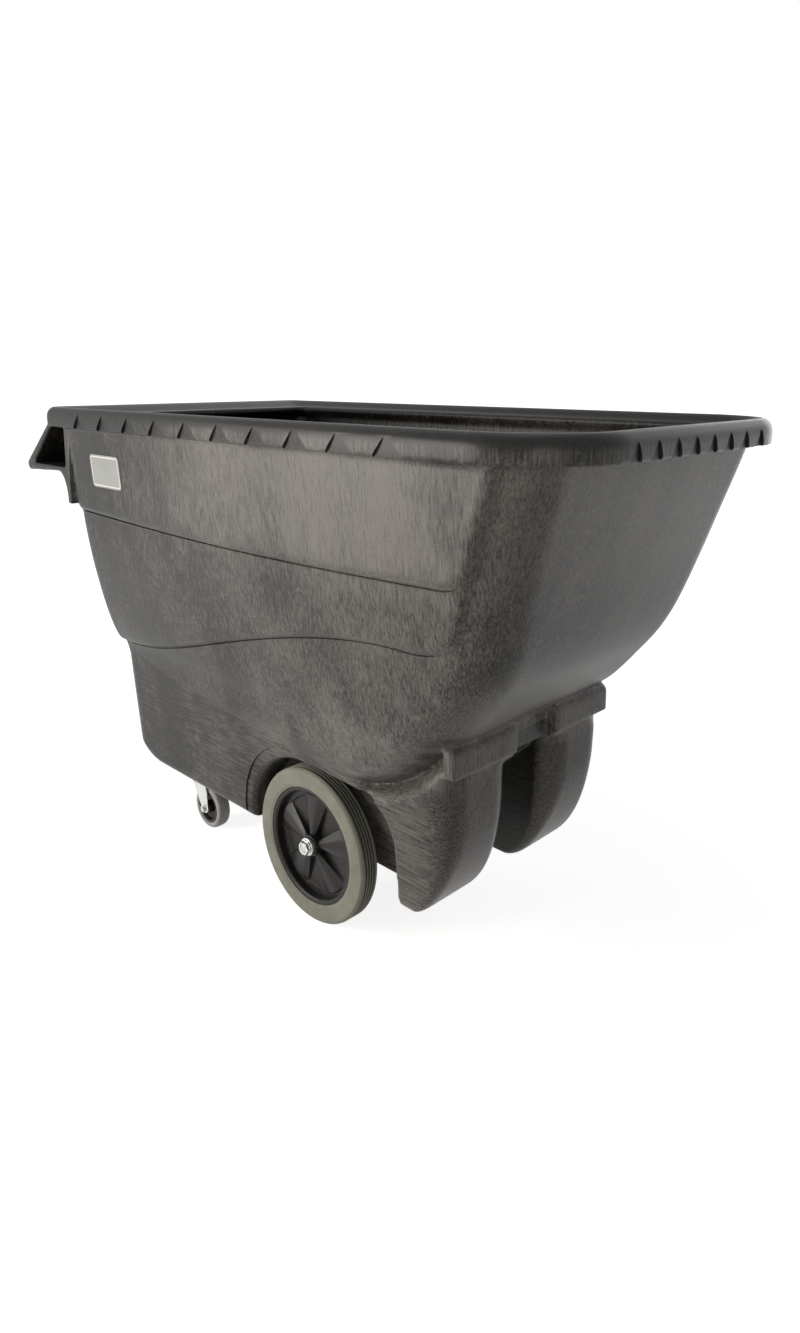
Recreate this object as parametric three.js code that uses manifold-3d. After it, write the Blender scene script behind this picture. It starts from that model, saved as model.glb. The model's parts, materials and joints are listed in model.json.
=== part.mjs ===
// Tilt truck for waste: a moulded hopper on two main wheels and two rear swivel casters.
// Millimetres. +X points to the dump end, +Z up, origin on the floor below the middle of the box.
import * as THREE from 'three';
import { mergeVertices } from 'three/addons/utils/BufferGeometryUtils.js';
import Module from 'manifold-3d';

// Overall size and the clearances that fits share
const TRUCK = { length: 1533, width: 711, height: 981 };
const FIT = { touch: 0.3, running: 0.4 };
const OVERRUN = 40; // how far a cutting solid runs past what it cuts
const SINK = 6; // how far a moulded feature reaches into the body that it is one piece with
// How far the parts round the rim lie below its top
const DROP = { tub: 16, skirt: 43, grip: 139, gripRoot: 145, gripHollow: 47 };

// Hopper tub, outside: its floor, its top edge and the walls between them
const TUB = {
  floorZ: 336, floorHalf: 205, floorHalfRear: 196, floorFrontX: 285,
  topZ: TRUCK.height - DROP.tub, topHalf: 332, topFrontX: 719, rearX: -548,
  wall: 9, floorWall: 12, cornerRear: 42, cornerFrontTop: 72, cornerFrontFloor: 96,
};
// Rows of the tub's wall from floor to top: shares of height, front reach, width and rear width
const tubShares = [
  [0, 0, 0, 0], [0.014, 0.069, 0.15, 0.059], [0.035, 0.141, 0.228, 0.118], [0.076, 0.242, 0.299, 0.191],
  [0.119, 0.311, 0.354, 0.243], [0.159, 0.371, 0.409, 0.294], [0.205, 0.436, 0.472, 0.397],
  [0.256, 0.523, 0.528, 0.485], [0.34, 0.624, 0.598, 0.596], [0.415, 0.703, 0.669, 0.676],
  [0.491, 0.758, 0.732, 0.75], [0.639, 0.832, 0.843, 0.853], [0.784, 0.901, 0.906, 0.912],
  [0.924, 0.968, 0.969, 0.971], [1, 1, 1, 1],
];
// Raised side panels: a wave-shaped lower edge and a nearly straight upper step
const PANEL = {
  rise: 9, upperRise: 7, edge: 5, waveRearZ: 445, waveFrontZ: 645, stepZ: 760, stepSag: 12,
};
const lowRowCount = 5; // rows of the wall below the panels that are drawn level
const panelRowShares = [0.25, 0.5, 0.75];
const topRowShares = [0.5, 1];
const waveEndShare = 0.93; // where along the side the wave has risen fully

// Rim: a rounded bead that turns down into a skirt
const RIM = {
  skirtZ: TRUCK.height - DROP.skirt, skirtWall: 12, skirtDraft: 1.5, rearX: -627, cornerFront: 152,
  cornerRear: 36, bead: 23, innerDrop: 21, innerEdge: 9, innerLip: 20, underside: 8,
};
// The rim's top from the bead to its inner edge: shares of the way across and of the drop
const rimInnerShares = [[0.45, 0.2], [0.9, 0.76]];

// Flutes pressed into the skirt
const FLUTE = {
  depth: 6, baseWidth: 46, tipWidth: 8, sidePitch: 102, frontPitch: 54, height: 21, proud: 2,
};
const fluteCount = { side: 10, front: 8 };
const fluteFirstX = -497;

// Rear handle: a sloped plate behind the rim, closed below, open at both ends
const HANDLE = {
  endInset: 20.5, crestX: -612, noseZ: TRUCK.height - DROP.grip, noseRadius: 13, plate: 11,
  rootZ: TRUCK.height - DROP.gripRoot, hollowTopZ: TRUCK.height - DROP.gripHollow, hollowFrontX: -568,
  noseBack: 6, filletOut: 44, filletDown: 70,
};

// Base under the hopper, with the wheel wells, the tunnel and the two front feet
const BASE = {
  rearX: -550, frontX: 479, halfBottom: 206, halfTop: 233, topZ: 440, fillet: 16, cornerRear: 50,
  cornerFront: 55, noseReach: 105, noseRise: 204, footDrop: 12, footStartX: 336,
  shoulderStartX: 150, shoulderEndX: 463, shoulderInset: 20, shoulderDrop: 30,
};
// Places where the base's outline is drawn: up its side, in from its rear end and along its nose
const baseRowShares = [0, 0.014, 0.055, 0.16, 0.34, 0.6, 1];
const baseRearShares = [0, 0.04, 0.15, 0.45, 1];
const baseNoseShares = [0, 0.25, 0.45, 0.62, 0.76, 0.87, 0.95, 1];
const baseMouthShares = [0, 0.06, 0.16, 0.3, 0.48, 0.73, 1];
const noseCurveShare = 1.6; // exponent of the nose's curve, 2 being an ellipse
// The shoulder in front: share of the way to its end, share of the rise to the step pads
const shoulderShares = [
  [0.43, 0], [0.59, 0.11], [0.7, 0.28], [0.8, 0.48], [0.88, 0.66], [0.95, 0.84], [1, 1],
];
const WELL = {
  innerY: 150, rearClear: 20, rearAngle: 188, topZ: 328, frontX: 345, frontRadius: 88, footLean: 2, lip: 20,
};
const TUNNEL = {
  halfTop: 55, halfBottom: 64, ceilingFrontZ: 404, ceilingZ: 296, frontX: 452, slopeX: 330, rearX: 40,
  rearTopX: 80, recessX: 463, recessZ: 432,
};
const PAD = {
  frontX: 488, backX: 461, half: 223, innerHalf: 55, bottomZ: 416, topZ: 468, corner: 6, round: 14,
};

// Main wheels on their axle
const WHEEL = { radius: 152.4, width: 42, x: 103, outerY: 206 };
const TYRE = { seat: 115, shoulder: 5, grooveWidth: 3, grooveDepth: 2.6, grooves: 4 };
const HUB = {
  rimWidth: 36, rimWall: 9, webZ: -6, webThick: 5, bossRadius: 21, bossOut: 19, bossIn: 20,
  spokeRoot: 17, spokeTip: 99, spokeRootHalf: 5, spokeTipHalf: 34, spokeHigh: 14, spokeLow: 7,
  spokeRootSide: 3, spokeTipSide: 6, crownRootHalf: 2.5, crownTipHalf: 10, rimBevel: 3,
};
const spokes = 5;
const AXLE = { radius: 7.94, endY: 221, chamfer: 1.5 };
const BUSH = { wall: 3, flange: 3, flangeRadius: 16 };
const WASHER = { radius: 17, thick: 3 };
const NUT = { acrossFlats: 24, thick: 10 };
const SPACER = { wall: 3 };
const SADDLE = { y: 110, length: 88, width: 34, thick: 3, corner: 8 };
const SCREW = { radius: 3, headFlats: 13, head: 5, x: 29, depth: 22 };

// Rear casters
const CASTER = { x: -376, y: 129, trail: 32, wheelRadius: 50.8 };
const PLATE = { length: 92, width: 66, thick: 4, corner: 8, boltX: 34, boltY: 22 };
const RACE = { inner: 13, outer: 27, thick: 3.2, lip: 3, ball: 2.8, ballPitch: 20 };
const balls = 10;
const KINGPIN = { radius: 6, headRadius: 10.5, head: 2.4, nutFlats: 19, nut: 7 };
const FORK = {
  crownRadius: 30, crown: 3.5, leg: 3, halfOuter: 23, footRadius: 12, footFrom: -160, footTo: 20,
  legTopHalf: 27,
};
const CORE = { width: 30, boss: 36, bossRadius: 13, rimRadius: 37, web: 10, rimWall: 6 };
const TREAD = { width: 32, edge: 4 };
const SLEEVE = { inner: 5, wall: 2 };
const PIN = { headFlats: 15, head: 5, nut: 6, thread: 2 };

// Facet counts
const FACETS = { wheel: 32, caster: 20, small: 12, bolt: 6, corner: 4, arch: 8, arc: 6, bead: 4 };

const COLOURS = {
  moulding: '#4a4744', tyre: '#8a8a7b', hub: '#232122', zinc: '#c9cacb', steel: '#8d9093', bush: '#d8d6cf',
  tread: '#9a9b9a',
};
const OUTER_HALF = TRUCK.width / 2;
const END_X = TRUCK.length / 2;
const AXLE_Z = WHEEL.radius;
const BASE_Z = AXLE_Z - AXLE.radius - FIT.touch; // the saddles hold the axle level with the underside

const wasm = await Module();
wasm.setup();

const lerp = (a, b, t) => a + (b - a) * t;
const within = (t) => Math.min(1, Math.max(0, t));
const smooth = (t) => within(t) ** 2 * (3 - 2 * within(t));

// Meshes and booleans

// A closed body from points and faces, turned so that its faces point out
function bodyOf(points, faces) {
  const geometry = new THREE.BufferGeometry();
  geometry.setAttribute('position', new THREE.Float32BufferAttribute(points.flat(), 3));
  geometry.setIndex(faces.flat());
  return volumeOf(geometry) < 0 ? flipped(geometry) : geometry;
}

function volumeOf(geometry) {
  const p = geometry.attributes.position;
  const index = geometry.index;
  const [a, b, c] = [new THREE.Vector3(), new THREE.Vector3(), new THREE.Vector3()];
  let sum = 0;
  for (let i = 0; i < index.count; i += 3) {
    a.fromBufferAttribute(p, index.getX(i));
    b.fromBufferAttribute(p, index.getX(i + 1));
    c.fromBufferAttribute(p, index.getX(i + 2));
    sum += a.dot(b.cross(c));
  }
  return sum;
}

function flipped(geometry) {
  const index = Array.from(geometry.index.array);
  for (let i = 0; i < index.length; i += 3) [index[i], index[i + 1]] = [index[i + 1], index[i]];
  geometry.setIndex(index);
  return geometry;
}

function weld(geometry) {
  const bare = geometry.clone();
  for (const name of Object.keys(bare.attributes)) {
    if (name !== 'position') bare.deleteAttribute(name);
  }
  return mergeVertices(bare, 1e-4);
}

function solidOf(geometry) {
  const bare = weld(geometry);
  const vertProperties = new Float32Array(bare.attributes.position.array);
  const triVerts = new Uint32Array(bare.index.array);
  return new wasm.Manifold(new wasm.Mesh({ numProp: 3, vertProperties, triVerts }));
}

function geometryOf(solid) {
  const mesh = solid.getMesh();
  const geometry = new THREE.BufferGeometry();
  geometry.setAttribute('position', new THREE.BufferAttribute(new Float32Array(mesh.vertProperties), 3));
  geometry.setIndex(new THREE.BufferAttribute(new Uint32Array(mesh.triVerts), 1));
  return geometry;
}

const union = (geometries) => geometries.map(solidOf).reduce((all, one) => all.add(one));
const cutAway = (solid, geometries) => geometries.reduce((rest, one) => rest.subtract(solidOf(one)), solid);

// Rings of points joined in order, with flat ends; closed in itself when loop is true
function loft(rings, loop = false) {
  const count = rings[0].length;
  const points = rings.flat();
  const faces = [];
  const last = loop ? rings.length : rings.length - 1;
  for (let k = 0; k < last; k += 1) {
    const low = k * count;
    const high = ((k + 1) % rings.length) * count;
    for (let i = 0; i < count; i += 1) {
      const j = (i + 1) % count;
      faces.push([low + i, low + j, high + j], [low + i, high + j, high + i]);
    }
  }
  if (!loop) {
    for (const [start, turn] of [[0, 1], [(rings.length - 1) * count, -1]]) {
      const centre = points.length;
      const ring = points.slice(start, start + count);
      points.push([0, 1, 2].map((axis) => ring.reduce((sum, q) => sum + q[axis], 0) / count));
      for (let i = 0; i < count; i += 1) {
        const j = (i + 1) % count;
        faces.push(turn > 0 ? [centre, start + j, start + i] : [centre, start + i, start + j]);
      }
    }
  }
  return bodyOf(points, faces);
}

// A closed profile of [radius, height] turned about the Z axis; radius 0 closes on the axis
function turned(profile, segments) {
  const loop = profile[0][0] > 0 || profile[profile.length - 1][0] > 0;
  const ends = loop ? [...profile, profile[0]] : profile;
  const geometry = weld(new THREE.LatheGeometry(ends.map(([r, z]) => new THREE.Vector2(r, z)), segments));
  geometry.rotateX(Math.PI / 2);
  const index = Array.from(geometry.index.array);
  const kept = [];
  for (let i = 0; i < index.length; i += 3) {
    const [a, b, c] = index.slice(i, i + 3);
    if (a !== b && b !== c && c !== a) kept.push(a, b, c);
  }
  geometry.setIndex(kept);
  return volumeOf(geometry) < 0 ? flipped(geometry) : geometry;
}

// The corner radius of a round hole whose flats stay clear of what passes through it
const clearOf = (radius, segments) => radius / Math.cos(Math.PI / segments);

function ring(inner, outer, z0, z1, segments) {
  const bore = clearOf(inner, segments);
  return turned([[bore, z0], [outer, z0], [outer, z1], [bore, z1]], segments);
}

// A round hole's outline about a place
function holeAt(x, y, radius, segments = FACETS.bolt) {
  return arc(x, y, clearOf(radius, segments), 360, 360 / segments, segments - 1);
}

// A round cutting solid from z0 to z1
const drill = (radius, z0, z1, segments) => turned([
  [0, z0], [clearOf(radius, segments), z0], [clearOf(radius, segments), z1], [0, z1],
], segments);

function shapeOf(points, holes = []) {
  const shape = new THREE.Shape(points.map(([a, b]) => new THREE.Vector2(a, b)));
  for (const hole of holes) shape.holes.push(new THREE.Path(hole.map(([a, b]) => new THREE.Vector2(a, b))));
  return shape;
}

// An outline in X and Y raised from z0 to z1
function raised(points, z0, z1, holes = []) {
  const geometry = new THREE.ExtrudeGeometry(shapeOf(points, holes), { depth: z1 - z0, bevelEnabled: false });
  return weld(geometry.translate(0, 0, z0));
}

// An outline in X and Z drawn out along Y from y0 to y1
function drawnAcross(points, y0, y1, holes = []) {
  const geometry = new THREE.ExtrudeGeometry(shapeOf(points, holes), { depth: y1 - y0, bevelEnabled: false });
  return weld(geometry.rotateX(Math.PI / 2).translate(0, y1, 0));
}

// Points of an arc about (x, z), from one angle to another in degrees
function arc(x, z, radius, from, to, steps = FACETS.arc) {
  return Array.from({ length: steps + 1 }, (_, i) => {
    const angle = THREE.MathUtils.degToRad(lerp(from, to, i / steps));
    return [x + radius * Math.cos(angle), z + radius * Math.sin(angle)];
  });
}

function roundedRect(x0, x1, y0, y1, radius, steps = 2) {
  return [
    ...arc(x1 - radius, y1 - radius, radius, 0, 90, steps),
    ...arc(x0 + radius, y1 - radius, radius, 90, 180, steps),
    ...arc(x0 + radius, y0 + radius, radius, 180, 270, steps),
    ...arc(x1 - radius, y0 + radius, radius, 270, 360, steps),
  ];
}

const hexagon = (acrossFlats) => arc(0, 0, acrossFlats / Math.sqrt(3), 0, 300, 5);
const mirrored = (geometry) => flipped(weld(geometry).scale(1, -1, 1));
const outward = (geometry, side) => geometry.rotateX(side * -Math.PI / 2); // local +Z becomes side * Y

// Hopper

// Shares along one long side
const sideShares = [0, 0.08, 0.17, 0.26, 0.35, 0.44, 0.53, 0.62, 0.71, 0.8, 0.88, 0.94, 1];
const plainShares = [0, 1];

// The outline of the hopper seen from above: side, front corner, front, corner, side, corner, rear, corner
function planOutline(size, shares = plainShares) {
  const { rearX, frontX, halfRear, halfFront, cornerRear, cornerFront } = size;
  const out = [];
  const at = (x, y, nx, ny, share) => out.push({ x, y, nx, ny, share });
  const side = (sign, places) => places.forEach((t) => {
    const x = lerp(rearX + cornerRear, frontX - cornerFront, t);
    at(x, sign * lerp(halfRear, halfFront, t), 0, sign, t);
  });
  const corner = (cx, cy, radius, from, share) => {
    for (let i = 1; i < FACETS.corner; i += 1) {
      const angle = from + (i / FACETS.corner) * Math.PI / 2;
      const [nx, ny] = [Math.cos(angle), Math.sin(angle)];
      at(cx + radius * nx, cy + radius * ny, nx, ny, share);
    }
  };
  const end = (x, half, sign, share) => {
    for (const t of plainShares) at(x, sign * lerp(-half, half, t), sign, 0, share);
  };
  side(-1, shares);
  corner(frontX - cornerFront, -halfFront + cornerFront, cornerFront, -Math.PI / 2, 1);
  end(frontX, halfFront - cornerFront, 1, 1);
  corner(frontX - cornerFront, halfFront - cornerFront, cornerFront, 0, 1);
  side(1, [...shares].reverse());
  corner(rearX + cornerRear, halfRear - cornerRear, cornerRear, Math.PI / 2, 0);
  end(rearX, halfRear - cornerRear, -1, 0);
  corner(rearX + cornerRear, -halfRear + cornerRear, cornerRear, Math.PI, 0);
  return out;
}

// The tub's outside at a height, from the rows of its wall
function tubSection(z, inset = 0, shares = plainShares) {
  const share = within((z - TUB.floorZ) / (TUB.topZ - TUB.floorZ));
  let k = 0;
  while (k < tubShares.length - 2 && tubShares[k + 1][0] < share) k += 1;
  const [low, high] = [tubShares[k], tubShares[k + 1]];
  const t = (share - low[0]) / (high[0] - low[0]);
  const [, front, half, halfRear] = low.map((value, i) => lerp(value, high[i], t));
  return planOutline({
    rearX: TUB.rearX + inset,
    frontX: lerp(TUB.floorFrontX, TUB.topFrontX, front) - inset,
    halfRear: lerp(TUB.floorHalfRear, TUB.topHalf, halfRear) - inset,
    halfFront: lerp(TUB.floorHalf, TUB.topHalf, half) - inset,
    cornerRear: TUB.cornerRear - Math.min(inset, TUB.cornerRear / 2),
    cornerFront: lerp(TUB.cornerFrontFloor, TUB.cornerFrontTop, share)
      - Math.min(inset, TUB.cornerFrontTop / 2),
  }, shares);
}

const waveZ = (share) => lerp(PANEL.waveRearZ, PANEL.waveFrontZ, smooth(share / waveEndShare));
const stepZ = (share) => PANEL.stepZ - PANEL.stepSag * Math.sin(Math.PI * share);
const onPanel = (point) => point.nx <= 0; // they run round the rear and end where the front corners start

// The rows of the tub's outside at one place: each row's height and how far the panels raise it there
function tubRows(point) {
  const wave = waveZ(point.share);
  const step = stepZ(point.share);
  const [rise, upper] = onPanel(point) ? [PANEL.rise, PANEL.rise + PANEL.upperRise] : [0, 0];
  const lowRows = tubShares.slice(0, lowRowCount).map(([share]) => [lerp(TUB.floorZ, TUB.topZ, share), 0]);
  const lowEnd = lowRows[lowRows.length - 1][0];
  return [
    ...lowRows,
    ...panelRowShares.map((t) => [lerp(lowEnd, wave - PANEL.edge, t), 0]),
    [wave - PANEL.edge, 0],
    [wave + PANEL.edge, rise],
    ...panelRowShares.map((t) => [lerp(wave + PANEL.edge, step - PANEL.edge, t), rise]),
    [step - PANEL.edge, rise],
    [step + PANEL.edge, upper],
    ...topRowShares.map((t) => [lerp(step + PANEL.edge, TUB.topZ, t), upper]),
  ];
}

function tubOutside() {
  const columns = tubSection(TUB.topZ, 0, sideShares).map(tubRows);
  return loft(columns[0].map((_, row) => columns.map((column, i) => {
    const [z, rise] = column[row];
    const point = tubSection(z, 0, sideShares)[i];
    return [point.x + rise * point.nx, point.y + rise * point.ny, z];
  })));
}

function tubInside() {
  const lipZ = TRUCK.height - RIM.innerDrop - RIM.innerEdge - RIM.underside;
  const rows = tubShares.filter((_, i) => i % 2 === 0).map(([share]) => lerp(TUB.floorZ, TUB.topZ, share))
    .filter((z) => z + TUB.floorWall < lipZ - OVERRUN);
  const ringAt = (z, source, inset) => tubSection(source, inset).map(({ x, y }) => [x, y, z]);
  return loft([
    ...rows.map((z) => ringAt(z + TUB.floorWall, z, TUB.wall)),
    ringAt(lipZ, lipZ, TUB.wall),
    ringAt(lipZ + RIM.underside, TUB.topZ, RIM.innerLip),
    ringAt(TRUCK.height + OVERRUN, TUB.topZ, RIM.innerLip),
  ]);
}

// The rim's section as distances in from its outer face and heights; reach is its width at that place
function rimSection(reach) {
  const bead = arc(RIM.bead, TRUCK.height - RIM.bead, RIM.bead, 180, 90, FACETS.bead);
  const edgeZ = TRUCK.height - RIM.innerDrop;
  return [
    [RIM.skirtDraft, RIM.skirtZ],
    ...bead,
    ...rimInnerShares.map(([inward, drop]) => [
      lerp(RIM.bead, reach, inward), lerp(TRUCK.height, edgeZ, drop),
    ]),
    [reach, edgeZ - RIM.innerEdge / 2],
    [reach, edgeZ - RIM.innerEdge],
    [Math.max(reach - RIM.innerLip, RIM.skirtWall + RIM.underside), edgeZ - RIM.underside / 2],
    [RIM.skirtWall + RIM.underside / 2, edgeZ - RIM.underside / 2],
    [RIM.skirtWall, RIM.skirtZ],
  ];
}

function rim() {
  const outer = planOutline({
    rearX: RIM.rearX, frontX: END_X, halfRear: OUTER_HALF, halfFront: OUTER_HALF,
    cornerRear: RIM.cornerRear, cornerFront: RIM.cornerFront,
  });
  const inner = tubSection(TUB.topZ, RIM.innerLip + FIT.touch);
  const sections = outer.map((point, i) => {
    const reach = Math.hypot(inner[i].x - point.x, inner[i].y - point.y);
    return rimSection(reach).map(([across, z]) => [
      lerp(point.x, inner[i].x, across / reach), lerp(point.y, inner[i].y, across / reach), z,
    ]);
  });
  return loft(sections, true);
}

// One flute: a wedge with its tip up, pressed in towards the bottom; the skirt's face lies in local Y = 0
function flute() {
  const [z0, z1] = [-FLUTE.proud, FLUTE.height];
  const half = FLUTE.baseWidth / 2;
  const tip = FLUTE.tipWidth / 2;
  return loft([
    [[-half, -FLUTE.depth, z0], [half, -FLUTE.depth, z0], [half, FLUTE.depth, z0], [-half, FLUTE.depth, z0]],
    [[-tip, -FLUTE.depth, z1], [tip, -FLUTE.depth, z1], [tip, 0, z1], [-tip, 0, z1]],
  ]);
}

function flutes() {
  const out = [];
  for (let i = 0; i < fluteCount.side; i += 1) {
    const x = fluteFirstX + (i + 1 / 2) * FLUTE.sidePitch;
    out.push(flute().translate(x, -OUTER_HALF + RIM.skirtDraft, RIM.skirtZ));
    out.push(flute().rotateZ(Math.PI).translate(x, OUTER_HALF - RIM.skirtDraft, RIM.skirtZ));
  }
  for (let i = 0; i < fluteCount.front; i += 1) {
    const y = (i - (fluteCount.front - 1) / 2) * FLUTE.frontPitch;
    out.push(flute().scale(FLUTE.frontPitch / FLUTE.sidePitch, 1, 1).rotateZ(Math.PI / 2)
      .translate(END_X - RIM.skirtDraft, y, RIM.skirtZ));
  }
  return out;
}

function handle() {
  const crestZ = TRUCK.height - RIM.bead / 2;
  const noseX = -END_X + HANDLE.noseRadius;
  const slope = Math.atan2(crestZ - HANDLE.noseZ, HANDLE.crestX - noseX);
  const normal = THREE.MathUtils.radToDeg(slope) + 90;
  const wallX = TUB.rearX - PANEL.rise - PANEL.upperRise;
  const fillet = arc(0, 0, 1, 90, 0, FACETS.bead).map(([x, z]) => [
    wallX - HANDLE.filletOut + x * HANDLE.filletOut, HANDLE.rootZ - HANDLE.filletDown + z * HANDLE.filletDown,
  ]);
  const inside = wallX + TUB.wall + PANEL.upperRise;
  const outer = [
    [inside, HANDLE.rootZ - HANDLE.filletDown],
    [inside, RIM.skirtZ + RIM.underside],
    [HANDLE.crestX, crestZ],
    ...arc(noseX, HANDLE.noseZ, HANDLE.noseRadius, normal, 270),
    ...fillet,
  ];
  const lean = (HANDLE.crestX - noseX) / (crestZ - HANDLE.noseZ); // X run for each unit of height
  const innerX = (z) => HANDLE.crestX - (crestZ - z) * lean + HANDLE.plate * Math.hypot(1, lean);
  const floorZ = HANDLE.rootZ + HANDLE.plate;
  const hollow = [
    [HANDLE.hollowFrontX, floorZ],
    [innerX(floorZ) + HANDLE.noseBack, floorZ],
    [innerX(floorZ + HANDLE.noseBack), floorZ + HANDLE.noseBack],
    [innerX(HANDLE.hollowTopZ), HANDLE.hollowTopZ],
    [HANDLE.hollowFrontX, HANDLE.hollowTopZ],
  ];
  const half = OUTER_HALF - HANDLE.endInset;
  return drawnAcross(outer, -half, half, [hollow]);
}

// The feet's front, from their underside up: how far it reaches at a height, and its height at a place
const FOOT_Z = BASE_Z - BASE.footDrop;
const acrossCurve = (t) => (1 - t ** noseCurveShare) ** (1 / noseCurveShare);

function noseX(z) {
  return BASE.frontX - BASE.noseReach * (1 - acrossCurve(within(1 - (z - FOOT_Z) / BASE.noseRise)));
}

function baseBottomZ(x) {
  if (x < BASE.footStartX) return BASE_Z;
  return FOOT_Z + BASE.noseRise * (1 - acrossCurve(within(1 - (BASE.frontX - x) / BASE.noseReach)));
}

// The feet's upright front edges are rounded widely above and no more than the underside's edge below
const cornerAt = (z) => lerp(BASE.fillet, BASE.cornerFront, smooth((z - FOOT_Z) / BASE.noseRise));

// How much a rounded plan corner takes off the side, into being the distance past the corner's start
function roundOff(radius, into) {
  const t = Math.min(radius, Math.max(0, into));
  return radius - Math.sqrt(radius ** 2 - t ** 2);
}

// The base's shoulder follows the tub's lower front edge up to the step pads
function shoulderZ(x) {
  const low = TUB.floorZ + TUB.floorWall;
  if (x <= BASE.shoulderStartX) return BASE.topZ;
  if (x > BASE.shoulderEndX) return PAD.bottomZ + SINK;
  const share = (x - BASE.shoulderStartX) / (BASE.shoulderEndX - BASE.shoulderStartX);
  const rows = shoulderShares;
  if (share <= rows[0][0]) return lerp(BASE.topZ, low, share / rows[0][0]);
  let k = 0;
  while (k < rows.length - 2 && rows[k + 1][0] < share) k += 1;
  const t = (share - rows[k][0]) / (rows[k + 1][0] - rows[k][0]);
  return lerp(low, PAD.topZ - PAD.round, lerp(rows[k][1], rows[k + 1][1], t));
}

const baseHalf = (z) => lerp(BASE.halfBottom, BASE.halfTop, (z - BASE_Z) / (BASE.topZ - BASE_Z));

function baseRing(x) {
  const bottom = baseBottomZ(x);
  const top = shoulderZ(x);
  const shoulder = smooth((x - BASE.shoulderStartX) / (TUB.floorFrontX - BASE.shoulderStartX));
  const outerTop = top - BASE.shoulderDrop * shoulder;
  const rear = roundOff(BASE.cornerRear, BASE.rearX + BASE.cornerRear - x);
  const halfAt = (z) => {
    const front = roundOff(cornerAt(z), x - noseX(z) + cornerAt(z));
    const foot = roundOff(BASE.fillet, (x < BASE.footStartX ? BASE_Z : FOOT_Z) + BASE.fillet - z);
    return baseHalf(z) - Math.max(rear, front, foot);
  };
  const half = [
    [0, bottom],
    ...baseRowShares.map((share) => lerp(bottom, outerTop, share)).map((z) => [halfAt(z), z]),
    [halfAt(top) - BASE.shoulderInset * shoulder, top],
    [0, top],
  ];
  const near = half.slice(1, -1).reverse();
  return [...half.map(([y, z]) => [x, y, z]), ...near.map(([y, z]) => [x, -y, z])];
}

function baseOutside() {
  const rearEnd = baseRearShares.map((share) => BASE.rearX + BASE.cornerRear * share);
  const noseStart = BASE.frontX - BASE.noseReach;
  const middle = [
    BASE.shoulderStartX, lerp(BASE.shoulderStartX, TUB.floorFrontX, 1 / 2), TUB.floorFrontX,
    BASE.footStartX - FIT.touch, BASE.footStartX,
  ];
  const nose = baseNoseShares.map((share) => noseStart + BASE.noseReach * share);
  const stations = [...rearEnd, ...middle, ...nose, BASE.shoulderEndX, BASE.shoulderEndX + SINK];
  return loft(stations.sort((a, b) => a - b).map(baseRing));
}

const wellLipShares = [0, 0.4, 1]; // depths at which the wells' rolled lip is drawn

// A wheel well's outline, with its arch wider by the flare of its lip
function wheelWell(flare) {
  const low = BASE_Z - OVERRUN;
  const rear = arc(WHEEL.x, AXLE_Z, WHEEL.radius + WELL.rearClear + flare, WELL.rearAngle, 90, FACETS.arch);
  return [
    [WELL.frontX + WELL.footLean, low],
    ...arc(WELL.frontX - WELL.frontRadius, WELL.topZ - WELL.frontRadius, WELL.frontRadius, 0, 90, FACETS.arc),
    ...rear.reverse(),
    [rear[rear.length - 1][0], low],
  ];
}

function wells() {
  const ringAt = (flare, yAt) => wheelWell(flare).map(([x, z]) => [x, yAt(z), z]);
  const near = loft([
    ringAt(WELL.lip, (z) => -baseHalf(z) - OVERRUN),
    ...wellLipShares.map((share) => ringAt(
      roundOff(WELL.lip, WELL.lip * (1 - share)), (z) => WELL.lip * share - baseHalf(z),
    )),
    ringAt(0, () => -WELL.innerY),
  ]);
  return [near, mirrored(near)];
}

function tunnel() {
  const outline = [
    [TUNNEL.rearX, BASE_Z - OVERRUN], [TUNNEL.rearTopX, TUNNEL.ceilingZ], [TUNNEL.slopeX, TUNNEL.ceilingZ],
    [TUNNEL.frontX, TUNNEL.ceilingFrontZ], [PAD.frontX + OVERRUN, TUNNEL.ceilingFrontZ],
    [PAD.frontX + OVERRUN, BASE_Z - OVERRUN],
  ];
  const side = (sign) => outline.map(([x, z]) => [x, sign * tunnelHalf(z), z]);
  return loft([side(-1), side(1)]);
}

const tunnelHalf = (z) => lerp(
  TUNNEL.halfBottom, TUNNEL.halfTop, (z - BASE_Z) / (TUNNEL.ceilingFrontZ - BASE_Z),
);

// The tunnel's mouth widens round the feet's inner front edges, which follow the nose
function tunnelMouth() {
  const rows = baseMouthShares.map((share) => lerp(FOOT_Z, TUNNEL.ceilingFrontZ, share));
  return loft([FOOT_Z - OVERRUN, ...rows].map((z) => {
    const half = tunnelHalf(Math.max(z, BASE_Z));
    const radius = cornerAt(z);
    const far = [PAD.frontX + OVERRUN, half + radius];
    const wide = [...arc(noseX(z) - radius, half + radius, radius, -90, 0, FACETS.bead), far];
    return [...wide.map(([x, y]) => [x, y, z]), ...wide.reverse().map(([x, y]) => [x, -y, z])];
  }));
}

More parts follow.
